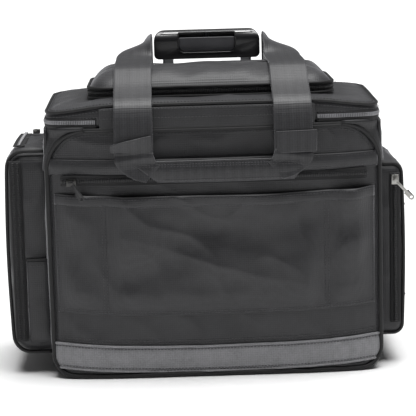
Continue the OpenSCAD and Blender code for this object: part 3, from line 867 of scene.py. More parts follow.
def make_shoulders(sizes):
    """The cloth that fills each upper corner, between the piping's arc and the rim's."""
    for side, word in ((-1, "left"), (1, "right")):
        arc, box = [], []
        radius = 34 - 1.2
        for i in range(25):
            t = i / 24
            turn = math.radians(90 * t)
            x = 157 + 50.5 * math.cos(turn)
            arc.append((side * x, CASE_FRONT - bulge_at(x, sizes) + 1.0, 266 + 50.5 * math.sin(turn)))
            rise = min(1.0, t / 0.5)
            late = max(0.0, (t - 0.5) / 0.5)
            turn = math.radians(90 * late)
            x = 174 - 17 * late**3 + radius * math.cos(turn) + 2.2 * (1 - rise)
            box.append((side * x, -90 - (radius - 3.2) * math.sin(turn), 264 + 55.0 * rise))
        rows = []
        for k in range(15):
            s = k / 14
            row = []
            for (ax, ay, az), (bx, by, bz) in zip(arc, box):
                swell = 4.5 * arch(s) ** 0.8
                away = Vector((side * 0.75, -0.55, 0.35)).normalized() * (
                    swell + 0.9 * soft(ax, ay + 30 * s, az, 22, 33.0 + side)
                )
                row.append(
                    (
                        ax + (bx - ax) * s + away.x,
                        ay + (by - ay) * s + away.y,
                        az + (bz - az) * s + away.z * 0.4,
                    )
                )
            rows.append(row)
        shoulder = loft(f"{word}_shoulder_cloth", rows if side > 0 else [row[::-1] for row in rows])
        thicken(shoulder, 2.0, -1.0)
        place_piece(shoulder, "case", "wall")


def make_walls(sizes):
    """Everything of the case but its front: walls, rear, shoulders, padded rim and base."""
    make_side_walls(sizes)
    make_rear()
    make_shoulders(sizes)
    rim_rows = []
    for inset, z in (
        (6.4, 297), (5.9, 303), (5.7, 310), (6.0, 316), (7.0, 319.0), (8.4, 319.8), (9.8, 319.0), (10.4, 315),
        (10.6, 306), (10.4, 297),
    ):
        rim_rows.append([(x, y, z) for x, y in plan_outline(inset + 0.3)])
    rim = loft("rim_padding", rim_rows + [rim_rows[0]], loop=True, closed=True)
    place_piece(rim, "case", "wall", ["rim_band"])
    base = soften("base_board", "case", "base", 1.5)
    base.name = "base_sheet"


def ring_path(inset, z, lift=0.0):
    """A line round the lid, hanging as its corners do."""
    return [(x, y, z - lid_sag(x, y, z) + lift) for x, y in plan_outline(inset, 336)]


def split_path(points, keep):
    """The runs of a closed path whose points pass a test."""
    runs, run = [], []
    for p in points + points[:1]:
        if keep(p):
            run.append(p)
        elif run:
            runs.append(run)
            run = []
    if run:
        if runs and keep(points[0]):
            runs[0] = run[:-1] + runs[0]
        else:
            runs.append(run)
    return runs


# ---- Lid ----


def make_lid(sizes):
    """The lid's shell, piping, zip and stitches, and the cloth that hinges it."""
    rows = []
    for inset, z in (
        (5.0, 321.4), (2.5, 321.0), (0.6, 321.3), (0.1, 323.5), (-0.6, 327), (-1.1, 332), (-1.0, 337),
        (-0.3, 342), (1.0, 345.2), (2.6, 347.0),
    ):
        rows.append(lid_ring(inset, z, wave=0.5 if 324 < z < 344 else 0.0))
    for inset, rise in ((4.0, 347.9), (7, 348.6), (12, 349.3), (19, 350.2), (28, 350.9), (38, 351.3)):
        ring = []
        for x, y, z in lid_ring(inset, rise):
            folds = 1.5 * crease(x, y, 0, 62, 51.0) + 1.4 * soft(x, y, 0, 48, 61.0)
            ring.append((x, y, z + folds * smooth_step(inset, 3, 12)))
        rows.append(ring)
    last = rows[-1]
    for share in (0.3, 0.6, 0.85):
        rows.append(
            [(x * (1 - share), -7 + (y + 7) * (1 - share), z + (351.0 - z) * share) for x, y, z in last]
        )
    lid = loft("lid_cloth", rows, loop=True)
    work = bmesh.new()
    work.from_mesh(lid.data)
    work.verts.ensure_lookup_table()
    work.faces.new(work.verts[-len(last) :])
    work.to_mesh(lid.data)
    work.free()
    turn_faces_out(lid, lambda face: face.normal.z * face.calc_area())
    thicken(lid, 2.5, -1.0)
    place_piece(lid, "lid", "shell", ["lid_panel", "lid_band"])

    cord("lid_piping_cord", ring_path(0.9, 346.6), 2.2, "lid", "piping", "piping", ["lid_piping"], loop=True)
    seam = ring_path(5.2, 348.6, lift=0.5)
    stitches("lid_edge_stitches", [seam + seam[:1]], UP, "lid")

    def beside_hinge(p):
        """Whether a point of the outline is clear of the hinge cloth."""
        return not (p[1] < -100 and -141.5 < p[0] < 127.5)

    rings = []
    for z, proud in ((319.2, 0.3), (322.6, 1.1), (325.6, 1.2), (327.8, 1.2), (330.2, 1.1), (331.9, 0.2)):
        rings.append(split_path([(x, y, z) for x, y in plan_outline(-proud - 0.6, 336)], beside_hinge))
    shortest = min(len(runs[0]) for runs in rings)
    sew(
        "lid_zip_tape",
        [runs[0][:shortest] for runs in rings],
        0.8,
        "lid",
        "tape",
        ["lid_zip"],
        offset=0.0,
    )
    runs = split_path([(x, y, 326.7) for x, y in plan_outline(-1.9, 336)], beside_hinge)

    def outward(point):
        """The way out of the lid's side at a point."""
        x, y = point.x, point.y
        if abs(x) > 174 and abs(y + 7) > 75:
            centre = Vector((math.copysign(174, x), 74 if y > 0 else -88, point.z))
            return (point - centre).normalized()
        if abs(x) > 190:
            return Vector((math.copysign(1, x), 0, 0))
        return Vector((0, -1 if y < 0 else 1, 0))

    teeth("lid_zip_teeth", runs, outward, "lid", 5.2)
    lines = []
    for z in (333.2, 341.0):
        lines.append([(x, y, z - lid_sag(x, y, z)) for x, y in plan_outline(-1.6, 336)])
    # No stitches where the slider runs, along the left side.
    sewn = [run for line in lines for run in split_path(line, lambda p: not (p[0] < -190 and abs(p[1]) < 84))]
    stitches("lid_band_stitches", sewn, Vector((0, -1, 0.01)), "lid")

    rows = []
    for z in (314.5, 316.5, 318.0, 319.2, 320.2, 321.2, 322.4, 324.0, 327, 331, 335, 339, 342, 343.6):
        row = []
        for x in spread(-140, 126, 70):
            y = CASE_FRONT - bulge_at(x, sizes)
            out = 2.0 + 0.5 * math.sin(math.pi * (z - 314) / 30) + 0.6 * soft(x, 3, z, 34, 71.0)
            row.append((x, y - out, z - 0.4 * lid_sag(x, -122, z)))
        rows.append(row)
    hinge = loft("hinge_cloth", rows)
    thicken(hinge, 1.0, -1.0)
    place_piece(hinge, None, "shell", ["hinge_panel"])
    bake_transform(hinge)
    lines = [[(x, y - 0.9, z) for x, y, z in row] for row in (rows[9], rows[-2])]
    stitches("hinge_stitches", lines, FRONT, "lid")


POCKET_Y = -5


def grown(outline, grow, z, half=153):
    """The outline of the pocket on the lid, let out by grow millimetres, at a height."""
    return [(x * (1 + grow / half), POCKET_Y + (y + 5) * (1 + grow / 75), z) for x, y, _ in outline]


def make_top_pocket(sizes):
    """The stuffed pocket on the lid, with a zip between its two pipings."""
    outline = rounded_ring(306, 150, 30, POCKET_Y, 0)
    rows = []
    for low, grow in ((350.0, 0.0), (351.5, 0.8), (354, 1.3), (358, 1.6), (361.5, 1.2), (364, 0.2)):
        rows.append(grown(outline, grow, low, 150))
    for depth in (3, 7, 12, 18, 25, 33, 42, 52, 62, 70):
        r = max(4.0, 30 - depth * 0.55)
        ring = rounded_ring(306 - 2 * depth, 150 - 2 * depth, min(r, 75 - depth - 0.5), POCKET_Y, 0)
        rise = 21.5 * (1 - math.exp(-((depth / 13.0) ** 1.15)))
        row = []
        for x, y, _ in ring:
            dimple = 0.0
            for place, width in ((-36, 10), (62, 13), (118, 9), (-96, 9)):
                dimple += 2.6 * math.exp(
                    -(((x - place - 0.25 * (y + 80)) / width) ** 2)
                ) * smooth_step(-y, 0, 70)
                dimple += 2.0 * math.exp(-(((x + place * 0.9 - 10) / (width + 3)) ** 2)) * smooth_step(y, 0, 60)
            end = 2.2 * math.exp(-(((y + 30) / 9) ** 2)) * smooth_step(abs(x), 90, 140)
            folds = 1.7 * crease(x, y, 0, 44, 81.0) + 2.0 * soft(x, y, 0, 40, 91.0)
            edge = smooth_step(depth, 2, 16)
            row.append((x, y, min(386.9, LID_TOP + 15.0 + rise - (dimple + end) * edge + (folds - 1.2) * edge)))
        rows.append(row)
    pocket = loft("top_pocket_cloth", rows, loop=True, caps=True)
    smooth = pocket.modifiers.new("smooth", "SUBSURF")
    smooth.levels = smooth.render_levels = 1
    apply_all(pocket)
    place_piece(pocket, "lid", "shell", ["top_pocket"])
    for number, z in enumerate((351.9, 363.8)):
        waves = [0.5 * soft(x, y, z, 30, 4.0) for x, y, _ in outline]
        path = [(x, y, z + wave) for (x, y, z), wave in zip(grown(outline, 2.2, z), waves)]
        cord(
            f"top_pocket_piping_{number}",
            path,
            2.1,
            "lid",
            "piping",
            "piping",
            ["top_pocket_piping"],
            loop=True,
        )
    rows = []
    for z, grow in ((353.8, 1.4), (355.5, 2.0), (358, 2.1), (360.5, 2.0), (362, 1.4)):
        rows.append(grown(outline, grow, z))
    tape = loft("top_pocket_zip_tape", [row + row[:1] for row in rows])
    thicken(tape, 0.6, 0.0)
    place_piece(tape, "lid", "tape", ["top_pocket_zip"])

    def outward(point):
        """The way out of the pocket's side at a point."""
        x, y = point.x, point.y + 5
        cx = max(-123, min(123, x))
        cy = max(-45, min(45, y))
        out = Vector((x - cx, y - cy, 0))
        return out.normalized() if out.length > 1 else Vector((0, -1 if y < 0 else 1, 0))

    teeth(
        "top_pocket_zip_teeth",
        [grown(outline, 2.6, 358.0)],
        outward,
        "lid",
        4.4,
        loop=True,
        finish="coil_painted_shade",
    )
    ring = rounded_ring(306 - 11, 150 - 11, 26, POCKET_Y, 0)
    line = [(x * 1.028 * 1.02, POCKET_Y + (y + 5) * 1.058 * 1.035, LID_TOP + 2.0) for x, y, _ in ring]
    stitches("top_pocket_foot_stitches", [line], UP, "lid")


# ---- Side pockets ----


def stuffed_box(name, low, high, r, swell, flat_side, cuts=44):
    """A padded box pocket: a cube shaped to round edges, filled out, and creased by its load."""
    bpy.ops.object.select_all(action="DESELECT")
    middle = [(a + b) / 2 for a, b in zip(low, high)]
    size = [b - a for a, b in zip(low, high)]
    bpy.ops.mesh.primitive_cube_add(size=1, location=[c * MM for c in middle])
    obj = bpy.context.object
    obj.name = obj.data.name = name
    obj.scale = [s * MM for s in size]
    bpy.ops.object.transform_apply(location=True, rotation=True, scale=True)
    bpy.ops.object.mode_set(mode="EDIT")
    bpy.ops.mesh.select_all(action="SELECT")
    bpy.ops.mesh.subdivide(number_cuts=cuts)
    bpy.ops.object.mode_set(mode="OBJECT")
    for vertex in obj.data.vertices:
        p = [c / MM for c in vertex.co]
        q = [min(max(c, a + r), b - r) for c, a, b in zip(p, low, high)]
        if flat_side:
            q[0] = p[0] if (p[0] - middle[0]) * flat_side < 0 and abs(p[0] - middle[0]) > size[0] / 2 - r else q[0]
        away = Vector(p) - Vector(q)
        out = away.normalized() if away.length > 1e-6 else Vector((0, 0, 0))
        place = Vector(q) + out * r
        u, v, w = [(c - m) / (s / 2) for c, m, s in zip(p, middle, size)]
        face = [
            max(0, 1 - v * v) * max(0, 1 - w * w),
            max(0, 1 - u * u) * max(0, 1 - w * w),
            max(0, 1 - u * u) * max(0, 1 - v * v),
        ]
        strength = max(abs(out.x) * face[0], abs(out.y) * face[1], abs(out.z) * face[2])
        folds = 2.2 * crease(p[0], p[1], p[2] + 0.4 * p[1], 52, 13.0 + flat_side) + 1.7 * soft(
            p[0], p[1], p[2], 44, 19.0
        )
        place += out * (swell * strength + (folds - 1.4) * min(1, 3 * strength))
        vertex.co = place * MM
    for polygon in obj.data.polygons:
        polygon.use_smooth = True
    return obj


def pocket_piping(side, y, flat, centre, r, levels, crest, run):
    """A piping's path round a side pocket's edge: out from the wall, up, and back to the wall."""
    low, low_centre, high_centre, high = levels
    out_x, swell, foot, length = crest
    turns = [math.radians(a) for a in range(0, 91, 10)]
    path = [(x, low) for x in spread(*flat)]
    path += [(centre + r * math.sin(turn), low_centre - r * math.cos(turn)) for turn in turns]
    path += [(out_x + swell * math.sin(math.pi * (z - foot) / length), z) for z in spread(*run)]
    path += [(centre + r * math.cos(turn), high_centre + r * math.sin(turn)) for turn in turns]
    path += [(x, high) for x in reversed(spread(*flat))]
    return [(side * x, y, z) for x, z in path]


def make_left_pocket(sizes):
    """The left pocket with its double zip, top zip, pen pocket and grab tab."""
    body = stuffed_box("left_pocket_cloth", (-264.5, -86.5, 25), (-206, 82.5, 290.5), 26, 3.2, -1)
    place_piece(body, "case", "shell", ["left_pocket"])
    for number, (y, out) in enumerate(((-86.5, -1), (82.5, 1))):
        path = pocket_piping(
            -1, y - out * 5.5, (212, 236, 5), 238.5, 22, (28.0, 50, 265.5, 287.5), (260.7, 2.4, 50, 214), (56, 260, 34)
        )
        cord(f"left_pocket_piping_{number}", path, 2.4, "case", "piping", "piping")
    verticals = []
    rows = []
    for x in (-256.5, -254.5, -252, -249, -246, -243.5, -241.5):
        rows.append(
            [(x, -89.0 - 1.6 * math.sin(math.pi * (x + 256.5) / 15), z) for z in spread(44, 277, 50)][::-1]
        )
        if x in (-252, -246):
            verticals.append([(x, -90.9, z) for z in spread(46, 275, 50)])
    sew("left_pocket_zip_tape", rows[::-1], 0.8, "case", "tape", ["left_pocket_zip"])
    teeth("left_pocket_zip_teeth", verticals, FRONT, "case", 3.8, finish="coil_painted_shade")
    top = [
        [(x, y, 292.3 + 1.4 * math.sin(math.pi * (y + 68) / 132)) for y in spread(-66, 62, 40)]
        for x in (-253, -250, -245.5, -241, -238)
    ]
    sew("left_pocket_top_tape", top, 0.8, "case", "tape", offset=1.0)
    teeth("left_pocket_top_teeth", [[(-245.5, p[1], p[2] + 0.9) for p in top[2]]], UP, "case", 4.4)

    rows = []
    for z in spread(42, 150, 30):
        row = []
        for x in spread(-240, -212, 16):
            u = (x + 226) / 14
            puff = 2.6 * max(0, 1 - u**4) * smooth_step(z, 42, 60) + 0.8 * soft(x, 0, z, 18, 6.0)
            row.append((x, -89.2 - puff, z))
        rows.append(row)
    sew("left_pen_pocket_cloth", rows, 1.2, "case", "shell", ["left_pen_pocket"])
    cord(
        "left_pen_pocket_binding",
        [(x, y - 0.3, z) for x, y, z in rows[-1]],
        1.5,
        "case",
        "shell_fabric",
        "piping",
        sides=8,
    )
    lines = [[(x, y - 0.6, z) for x, y, z in rows[-3]]]
    for end, inset in ((0, 1.6), (-1, -1.6)):
        lines.append([(row[end][0] + inset, row[end][1] - 0.9, row[end][2]) for row in rows])
    stitches("left_pen_pocket_stitches", lines, FRONT, "case")

    rows = []
    for i in range(25):
        t = i / 24
        out = 3.2 * arch(t) ** 0.6 + (1.4 if 0.12 < t < 0.88 else 0)
        rows.append([(-267.4 - out, y, 131 + 60 * t) for y in spread(-12, 13, 8)][::-1])
    sew("left_pocket_tab_webbing", rows, 1.8, "case", "webbing", ["left_pocket_tab"])
    lines = [[(-269.6, -10 + 21 * k / 8, z) for k in range(9)] for z in (136, 140, 182, 186)]
    stitches("left_pocket_tab_stitches", lines, Vector((-1, 0, 0)), "case")


def make_right_pocket(sizes):
    """The right pocket with its zip and the seams across its outer face."""
    body = stuffed_box("right_pocket_cloth", (206, -86.5, 37), (241.5, 82.5, 261.5), 14, 3.0, 1)
    place_piece(body, "case", "shell", ["right_pocket"])
    for number, (y, out) in enumerate(((-86.5, -1), (82.5, 1))):
        path = pocket_piping(
            1, y - out * 4.0, (212, 222, 3), 226, 12.5, (39.2, 51.7, 246.8, 259.2), (238.6, 2.0, 52, 195), (58, 240, 32)
        )
        cord(f"right_pocket_piping_{number}", path, 2.2, "case", "piping", "piping")
    rows = [
        [(x, -89.0 - 1.4 * math.sin(math.pi * (x - 222) / 14), z) for z in spread(54.5, 248.5, 50)]
        for x in (222.2, 224, 226.5, 229, 231.5, 234, 235.8)
    ]
    sew("right_pocket_zip_tape", rows, 0.8, "case", "tape", ["right_pocket_zip"], offset=1.0)
    teeth(
        "right_pocket_zip_teeth",
        [[(229, -90.9, z) for z in spread(56, 247, 40)]],
        FRONT,
        "case",
        4.4,
        finish="coil_painted_shade",
    )
    for number, z in enumerate((88.0, 150.0, 205.0)):
        path = [(240.5, y, z + 0.8 * soft(0, y, 0, 20, number)) for y in spread(-74, 70, 30)]
        cord(
            f"right_pocket_seam_{number}",
            [(x + 2.0, y, zz) for x, y, zz in path],
            1.5,
            "case",
            "shell_fabric",
            "piping",
            sides=8,
        )


def make_tabs(sizes):
    """A short webbing tab on each side wall."""
    for name, side, low, high in (("left_side_tab", -1, 297.5, 316.5), ("right_side_tab", 1, 267.5, 288.5)):
        rows = []
        for i in range(21):
            t = i / 20
            out = 5.4 * arch(t) ** 0.75
            rows.append([(side * (210.4 + out), y, low + (high - low) * t) for y in spread(-19.5, 19.5, 10)])
        tab = loft(name, rows if side > 0 else [row[::-1] for row in rows])
        thicken(tab, 1.7, -1.0)
        place_piece(tab, "case", "webbing", ["side_tabs"])


# ---- Web handle ----

# Rearward and upward places of the webbing's middle: from the anchor to the peak, then down the front.
ROOT_PATH = [(112.3, 319.0), (112.9, 330), (114.1, 350), (115.3, 370), (116.4, 390), (117.3, 405), (117.9, 415)]
LEG_PATH = [
    (117.9, 415), (114.5, 418.5), (108, 415.8), (100, 412), (90, 408.6), (80, 404.3), (70, 398.6), (60, 393.2), (50, 390.2),
    (40, 389.0), (20, 388.7), (0, 388.9), (-20, 388.9), (-40, 388.6), (-53, 388.0), (-60, 386.0), (-74, 377.5), (-88, 368.6),
    (-100, 362.5), (-112, 357.2), (-120, 354.0), (-126, 350.8), (-132, 345.8), (-136, 338.8), (-139.6, 330), (-142, 320.8),
    (-144.3, 310), (-146, 300), (-146.8, 291), (-147.4, 284.5),
]
WEB_IN, WEB_W = 74.4, 47.4
MOST_TWIST = 78


def twist_at(y, z, root):
    """How far the webbing has turned edge-on, in degrees: most at the peak of the loop."""
    if root:
        return MOST_TWIST * smooth_step(z, 322, 388)
    return MOST_TWIST * (1 - smooth_step(118 - y, 4, 74))


def web_rows(path, side, root):
    """Rows of points across the webbing, along a path."""
    rows = []
    for i, (y, z) in enumerate(path):
        a, b = path[max(i - 1, 0)], path[min(i + 1, len(path) - 1)]
        t = Vector((0, b[0] - a[0], b[1] - a[1])).normalized()
        n = Vector((0, t.z, -t.y))
        turn = math.radians(twist_at(y, z, root))
        # The webbing turns about its inner edge, and its outer edge swings to the rear.
        across = Vector((side * math.cos(turn), math.sin(turn), -0.25 * math.sin(turn)))
        inner = Vector((side * WEB_IN, y - 0.5 * WEB_W * math.sin(turn), z))
        row = []
        for u in spread(0, 1, 13):
            cup = 1.6 * (4 * u * (1 - u)) * math.sin(turn)
            wave = 0.7 * soft(side * 100 * u, y * 0.5, z * 0.5, 24, 15.0 + side)
            row.append(tuple(inner + across * WEB_W * u + n * (cup + wave * 0.6)))
        rows.append(row)
    return rows


def finer(path, step):
    """A smooth path through the given points."""
    found = []
    for i in range(len(path) - 1):
        p0, p1, p2, p3 = path[max(i - 1, 0)], path[i], path[i + 1], path[min(i + 2, len(path) - 1)]
        parts = max(1, round(math.dist(p1, p2) / step))
        for k in range(parts):
            t = k / parts
            found.append(tuple(
                0.5 * (
                    2 * b + (c - a) * t + (2 * a - 5 * b + 4 * c - d) * t * t + (3 * b - a - 3 * c + d) * t**3
                )
                for a, b, c, d in zip(p0, p1, p2, p3)
            ))
    return found + [path[-1]]


def strap(name, rows, thickness=2.2):
    """A length of webbing with its selvedges rounded."""
    piece = loft(name, rows)
    thicken(piece, thickness, 0.0)
    round_edges(piece, "selvedge", 0.7, 2, 50)
    return piece


def make_handle(sizes):
    """The anchors, roots, legs and folded grip of the web handle."""
    for side, word in ((-1, "left"), (1, "right")):
        patch = []
        for z in spread(230.5, 318.5, 24):
            top = smooth_step(z, 306, 318)
            patch.append(
                [
                    (x, 109.7 + 1.6 * top + 0.35 * soft(x, 0, z, 14, 3.0), z)
                    for x in spread(side * 74.3, side * 121.7, 10)
                ]
            )
        anchor = strap(f"handle_anchor_{word}", patch, 2.0)
        place_piece(anchor, "case", "webbing", ["handle_anchors"])
        box = [
            (side * 78, 111.0, 236), (side * 118, 111.0, 236), (side * 118, 111.0, 296),
            (side * 78, 111.0, 296), (side * 78, 111.0, 236),
        ]
        cross = [[box[0], box[2]], [box[1], box[3]]]
        stitches(f"handle_anchor_stitches_{word}", [box] + cross, BACK, "case")
        rows = web_rows(finer(ROOT_PATH, 6), side, True)
        root = strap(f"web_root_{word}", rows)
        place_piece(root, None, "webbing", ["web_roots"])
        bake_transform(root)
        rows = web_rows(finer(LEG_PATH, 5), side, False)
        leg = strap(f"web_leg_{word}_strap", rows)
        place_piece(leg, "handle_loop", "webbing", [f"web_leg_{word}"])
        fold = strap(f"web_fold_{word}", corner_rows(side), 2.4)
        place_piece(fold, "handle_loop", "webbing")

    # The fold's open lip at the left and its flat, overlapping end at the right.
    rows = []
    for v in spread(0, 1, 9):
        row = []
        for u in spread(0, 1, 15):
            top, low = 300.5 + 11.5 * u**0.8, 291.5 - 12.0 * u**1.3
            out = 1.6 + 7.0 * v**1.6 * math.sin(math.pi * min(1.0, 0.25 + u) * 0.8)
            row.append(
                (-126.6 + 50.4 * u, -145.2 - out + 0.4 * soft(50 * u, 0, 9 * v, 18, 5.0), low + (top - low) * v)
            )
        rows.append(row)
    lip = strap("web_fold_lip", rows, 1.8)
    place_piece(lip, "handle_loop", "webbing")
    rows = []
    for z in spread(285.5, 312.5, 12):
        lean = (312.5 - z) / 27
        rows.append(
            [
                (x, -147.3 - 1.6 * lean - 0.9 * math.sin(math.pi * (x - 76) / 51), z + 0.02 * (x - 76))
                for x in spread(76.5 + 1.5 * lean, 127.0 - 1.0 * lean, 14)
            ]
        )
    lap = strap("web_fold_lap", rows, 1.8)
    place_piece(lap, "handle_loop", "webbing")

    rows = []
    for s in spread(0, 1, 70):
        x_top, x_low = -101 + 219 * s, -70 + 168 * s
        row = []
        wave = 0.7 * soft(x_top, 0, 0, 26, 44.0)
        for k in range(20):
            turn = 2 * math.pi * k / 20
            up = math.sin(turn)
            height = 0.5 + 0.5 * max(-1, min(1, up * 1.06))
            z = 253.4 + 25.0 * height - (1.2 * arch(s) if height < 0.5 else 0.4)
            thick = 3.6 * (abs(math.cos(turn)) ** 0.7) * (1 - 0.42 * smooth_step(z, 268, 277))
            x = x_low + (x_top - x_low) * height
            row.append((x, -147.0 + math.copysign(thick, -math.cos(turn)) + wave, z))
        rows.append(row)
    grip = loft("web_grip_folded", rows, loop=True, caps=True)
    place_piece(grip, "handle_loop", "webbing", ["web_grip"])
    lines = []
    for z, y in ((276.0, -149.9), (273.4, -150.3), (256.6, -150.6)):
        half = 100 if z > 260 else 64
        lines.append(
            [
                (x, y + 0.7 * soft(x, 0, 0, 26, 44.0), z - (0.4 if z > 260 else 0.6))
                for x in spread(-half, half + (14 if z > 260 else 26), 60)
            ]
        )
    stitches("web_grip_stitches", lines, FRONT, "handle_loop", 3.8, 2.8, 0.45)
    cord(
        "web_grip_edge",
        [(x, -147.0 + 0.7 * soft(x, 0, 0, 26, 44.0), 278.4) for x in spread(-102, 118, 60)],
        1.5,
        "handle_loop",
        "webbing",
        "webbing",
        sides=8,
    )


def corner_rows(side):
    """The webbing turning from a leg into the grip: a diagonal fold with a scoop under it."""
    steps = [
        ((121.8, -147.4, 286.5), (74.4, -147.4, 290.5)),
        ((121.8, -148.2, 284.5), (74.4, -148.2, 289.5)),
        ((122.2, -149.8, 280.5), (73.5, -149.6, 286.0)),
        ((119.5, -149.4, 275.0), (72.0, -148.4, 280.5)),
        ((114.0, -149.0, 268.5), (70.0, -148.0, 277.0)),
        ((106.0, -149.6, 262.0), (69.0, -148.4, 276.0)),
        ((96.0, -150.2, 257.0), (68.0, -149.0, 275.5)),
        ((84.0, -150.6, 254.2), (66.0, -149.4, 275.0)),
    ]
    rows = []
    for outer, inner in steps:
        row = []
        for u in spread(0, 1, 13):
            scoop = 1.5 * math.sin(math.pi * u)
            point = [o + (i - o) * u for o, i in zip(outer, inner)]
            row.append((side * point[0], point[1] - 0.3 + scoop * 0.7, point[2]))
        rows.append(row)
    return refine_rows(rows)


def refine_rows(rows):
    """Adds two rows between each pair, so that a fold is round."""
    found = []
    for a, b in zip(rows, rows[1:]):
        for t in (0, 1 / 3, 2 / 3):
            found.append([tuple(p + (q - p) * t for p, q in zip(pa, pb)) for pa, pb in zip(a, b)])
    return found + [rows[-1]]


# ---- Trolley ----


def make_trolley(sizes):
    """The cover, mouldings, grip and tubes of the trolley handle."""
    rows = []
    outline = [
        (-71.2, 108.2), (-71.2, 112), (-71.2, 122), (-71.0, 130), (-69.0, 135.5), (-64.5, 138.4), (-56, 138.8),
        (-40, 138.6), (-20, 138.2), (0, 138.0),
    ]
    outline += [(-x, y) for x, y in outline[-2::-1]]
    for z in spread(46.5, 311.5, 50):
        row = []
        for x, y in outline:
            fold = 0.7 * soft(x, y, z, 32, 14.0) + 0.7 * crease(x, y, z, 50, 24.0)
            row.append((x * (1 + 0.002 * fold), y - (abs(fold) if y > 125 else 0), z))
        rows.append(row)
    cover = thicken(loft("trolley_cover_cloth", rows), 1.6)
    turn_faces_out(cover)
    place_piece(cover, "case", "wall", ["trolley_cover"])
    lines = [[(side * 60, 139.1, z) for z in spread(50, 308, 30)] for side in (-1, 1)]
    stitches("trolley_cover_stitches", lines, BACK, "case")
    soften("trolley_bezel", "case", "moulding", 1.2)
    soften("tube_foot", "case", "moulding", 1.5)
    soften("mid_collars", "trolley_lower", "moulding", 0.6)
    make_grip()
    make_release_spring()
    for node, finish in (
        ("outer_tubes", "tube"), ("mid_tubes", "tube"), ("inner_tubes", "tube"), ("grip_screws", "steel"),
        ("release_rods", "steel"), ("housing_screws", "steel"), ("wheel_axles", "steel"),
    ):
        dress(node, finish)


def dress(node, finish):
    """Gives a carried-over part its finish."""
    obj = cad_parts[node]
    obj.data.materials.clear()
    obj.data.materials.append(FINISH[finish])


def round_block(name, low, high, edges, rim, segments=4):
    """A block whose front-to-rear edges are rounded by the radii in edges, then its rims."""
    bpy.ops.object.select_all(action="DESELECT")
    bpy.ops.mesh.primitive_cube_add(size=1, location=[(a + b) / 2 * MM for a, b in zip(low, high)])
    obj = bpy.context.object
    obj.name = obj.data.name = name
    obj.scale = [(b - a) * MM for a, b in zip(low, high)]
    bpy.ops.object.transform_apply(location=True, rotation=True, scale=True)
    middle = (low[2] + high[2]) / 2 * MM
    for upper, radius in edges:
        bpy.ops.object.mode_set(mode="EDIT")
        bpy.ops.mesh.select_all(action="DESELECT")
        bpy.ops.object.mode_set(mode="OBJECT")
        points = obj.data.vertices
        for edge in obj.data.edges:
            a, b = points[edge.vertices[0]].co, points[edge.vertices[1]].co
            runs_back = abs(a.y - b.y) > 0.9 * (high[1] - low[1]) * MM
            corner = abs(abs(a.x * 2 / MM - low[0] - high[0]) - (high[0] - low[0])) < 0.01
            edge.select = runs_back and corner and ((a.z > middle) == upper)
        bpy.ops.object.mode_set(mode="EDIT")
        bpy.ops.mesh.select_mode(type="EDGE")
        bpy.ops.mesh.bevel(offset=radius * MM, segments=10, affect="EDGES")
        bpy.ops.object.mode_set(mode="OBJECT")
    if rim:
        round_edges(obj, "rims", rim, segments, 40)
    return obj


def carve(obj, cutter):
    """Cuts one block out of another."""
    cut = obj.modifiers.new("cut", "BOOLEAN")
    cut.operation = "DIFFERENCE"
    cut.solver = "EXACT"
    cut.object = cutter
    apply_all(obj)
    bpy.data.objects.remove(cutter)


def make_grip():
    """The moulded grip, carved hollow with a finger scoop, and the release paddle in it."""
    grip = round_block("grip_moulding", (-72, 110, 382), (72, 138, 421), ((True, 15), (False, 7)), 5.0, 5)
    hollow = round_block(
        "grip_hollow", (-68.5, 113.4, 385.4), (68.5, 134.6, 417.6), ((True, 12), (False, 4)), 0
    )
    carve(grip, hollow)
    scoop = round_block("grip_scoop", (-38, 105, 391), (38, 116, 417), ((True, 3), (False, 9)), 0)
    carve(grip, scoop)
    for side in (-1, 1):
        hole = round_block(
            "grip_hole",
            (side * 53 - 7.8, 118.2, 378),
            (side * 53 + 7.8, 129.8, 388),
            ((True, 1.5), (False, 1.5)),
            0,
        )
        carve(grip, hole)
    round_edges(grip, "lips", 0.7, 2, 50)
    bpy.ops.object.shade_smooth_by_angle(angle=math.radians(38))
    place_piece(grip, "trolley_upper", "grip", ["grip_front", "grip_rear"])
    # The paddle's pale grey is partly painted light.
    soften("push_button", "release", "paddle", 0.8, 2, "release_paddle")
    path = [(x, 110.0, z) for x, z in corner_arcs(38.9, 390.1, 417.9, 3.0, 9.0, 8)]
    cord("grip_lip", path, 0.9, "trolley_upper", "grip_plastic", "grip", loop=True, sides=8)


def make_release_spring():
    """The paddle's return spring: its foot rises with the paddle and its top stays under the grip."""
    spring = soften("button_spring", "release", "spring", 0.05, 1, "release_spring_coil")
    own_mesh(spring)


# ---- Wheels and zip sliders ----


def make_wheels(sizes):
    """The wheels and their housings."""
    for word in ("left", "right"):
        soften(f"{word}_wheel_housing", "case", "moulding", 1.4)
        soften(f"{word}_tyre", f"{word}_wheel", "tyre", 0.8)
        soften(f"{word}_hub", f"{word}_wheel", "hub", 0.6)


def make_sliders(sizes):
    """The zip sliders and their pulls."""
    for node, body, slot, finish, width, segments in (
        ("front_slider", "front_zip_slider", "slider_metal", "slider_dark", 0.8, 3),
        ("front_pull", "front_zip_pull", "pull_dark", "pull", 0.4, 2),
        ("right_slider", "right_zip_slider", "slider_metal", "slider", 0.8, 3),
        ("right_pull", "right_zip_pull", "slider_metal", "slider", 0.4, 2),
        ("lid_slider", "lid_zip_slider", "slider_metal", "slider", 0.7, 2),
        ("left_slider", "left_zip_slider", "slider_metal", "slider", 0.7, 2),
    ):
        soften(node, body, finish, width, segments)


# ---- Stage ----


FLOOR_SIZE = 90
LAMP_STRENGTH, LAMP_WIDTH = 4.4, 44
LAMP_WAY = Vector((-0.1, 0.02, -1.0))
EYE, TARGET, LENS, ROLL = Vector((-0.048, -2.22, 0.58)), Vector((-0.0085, -0.122, 0.2155)), 148.0, -1.5


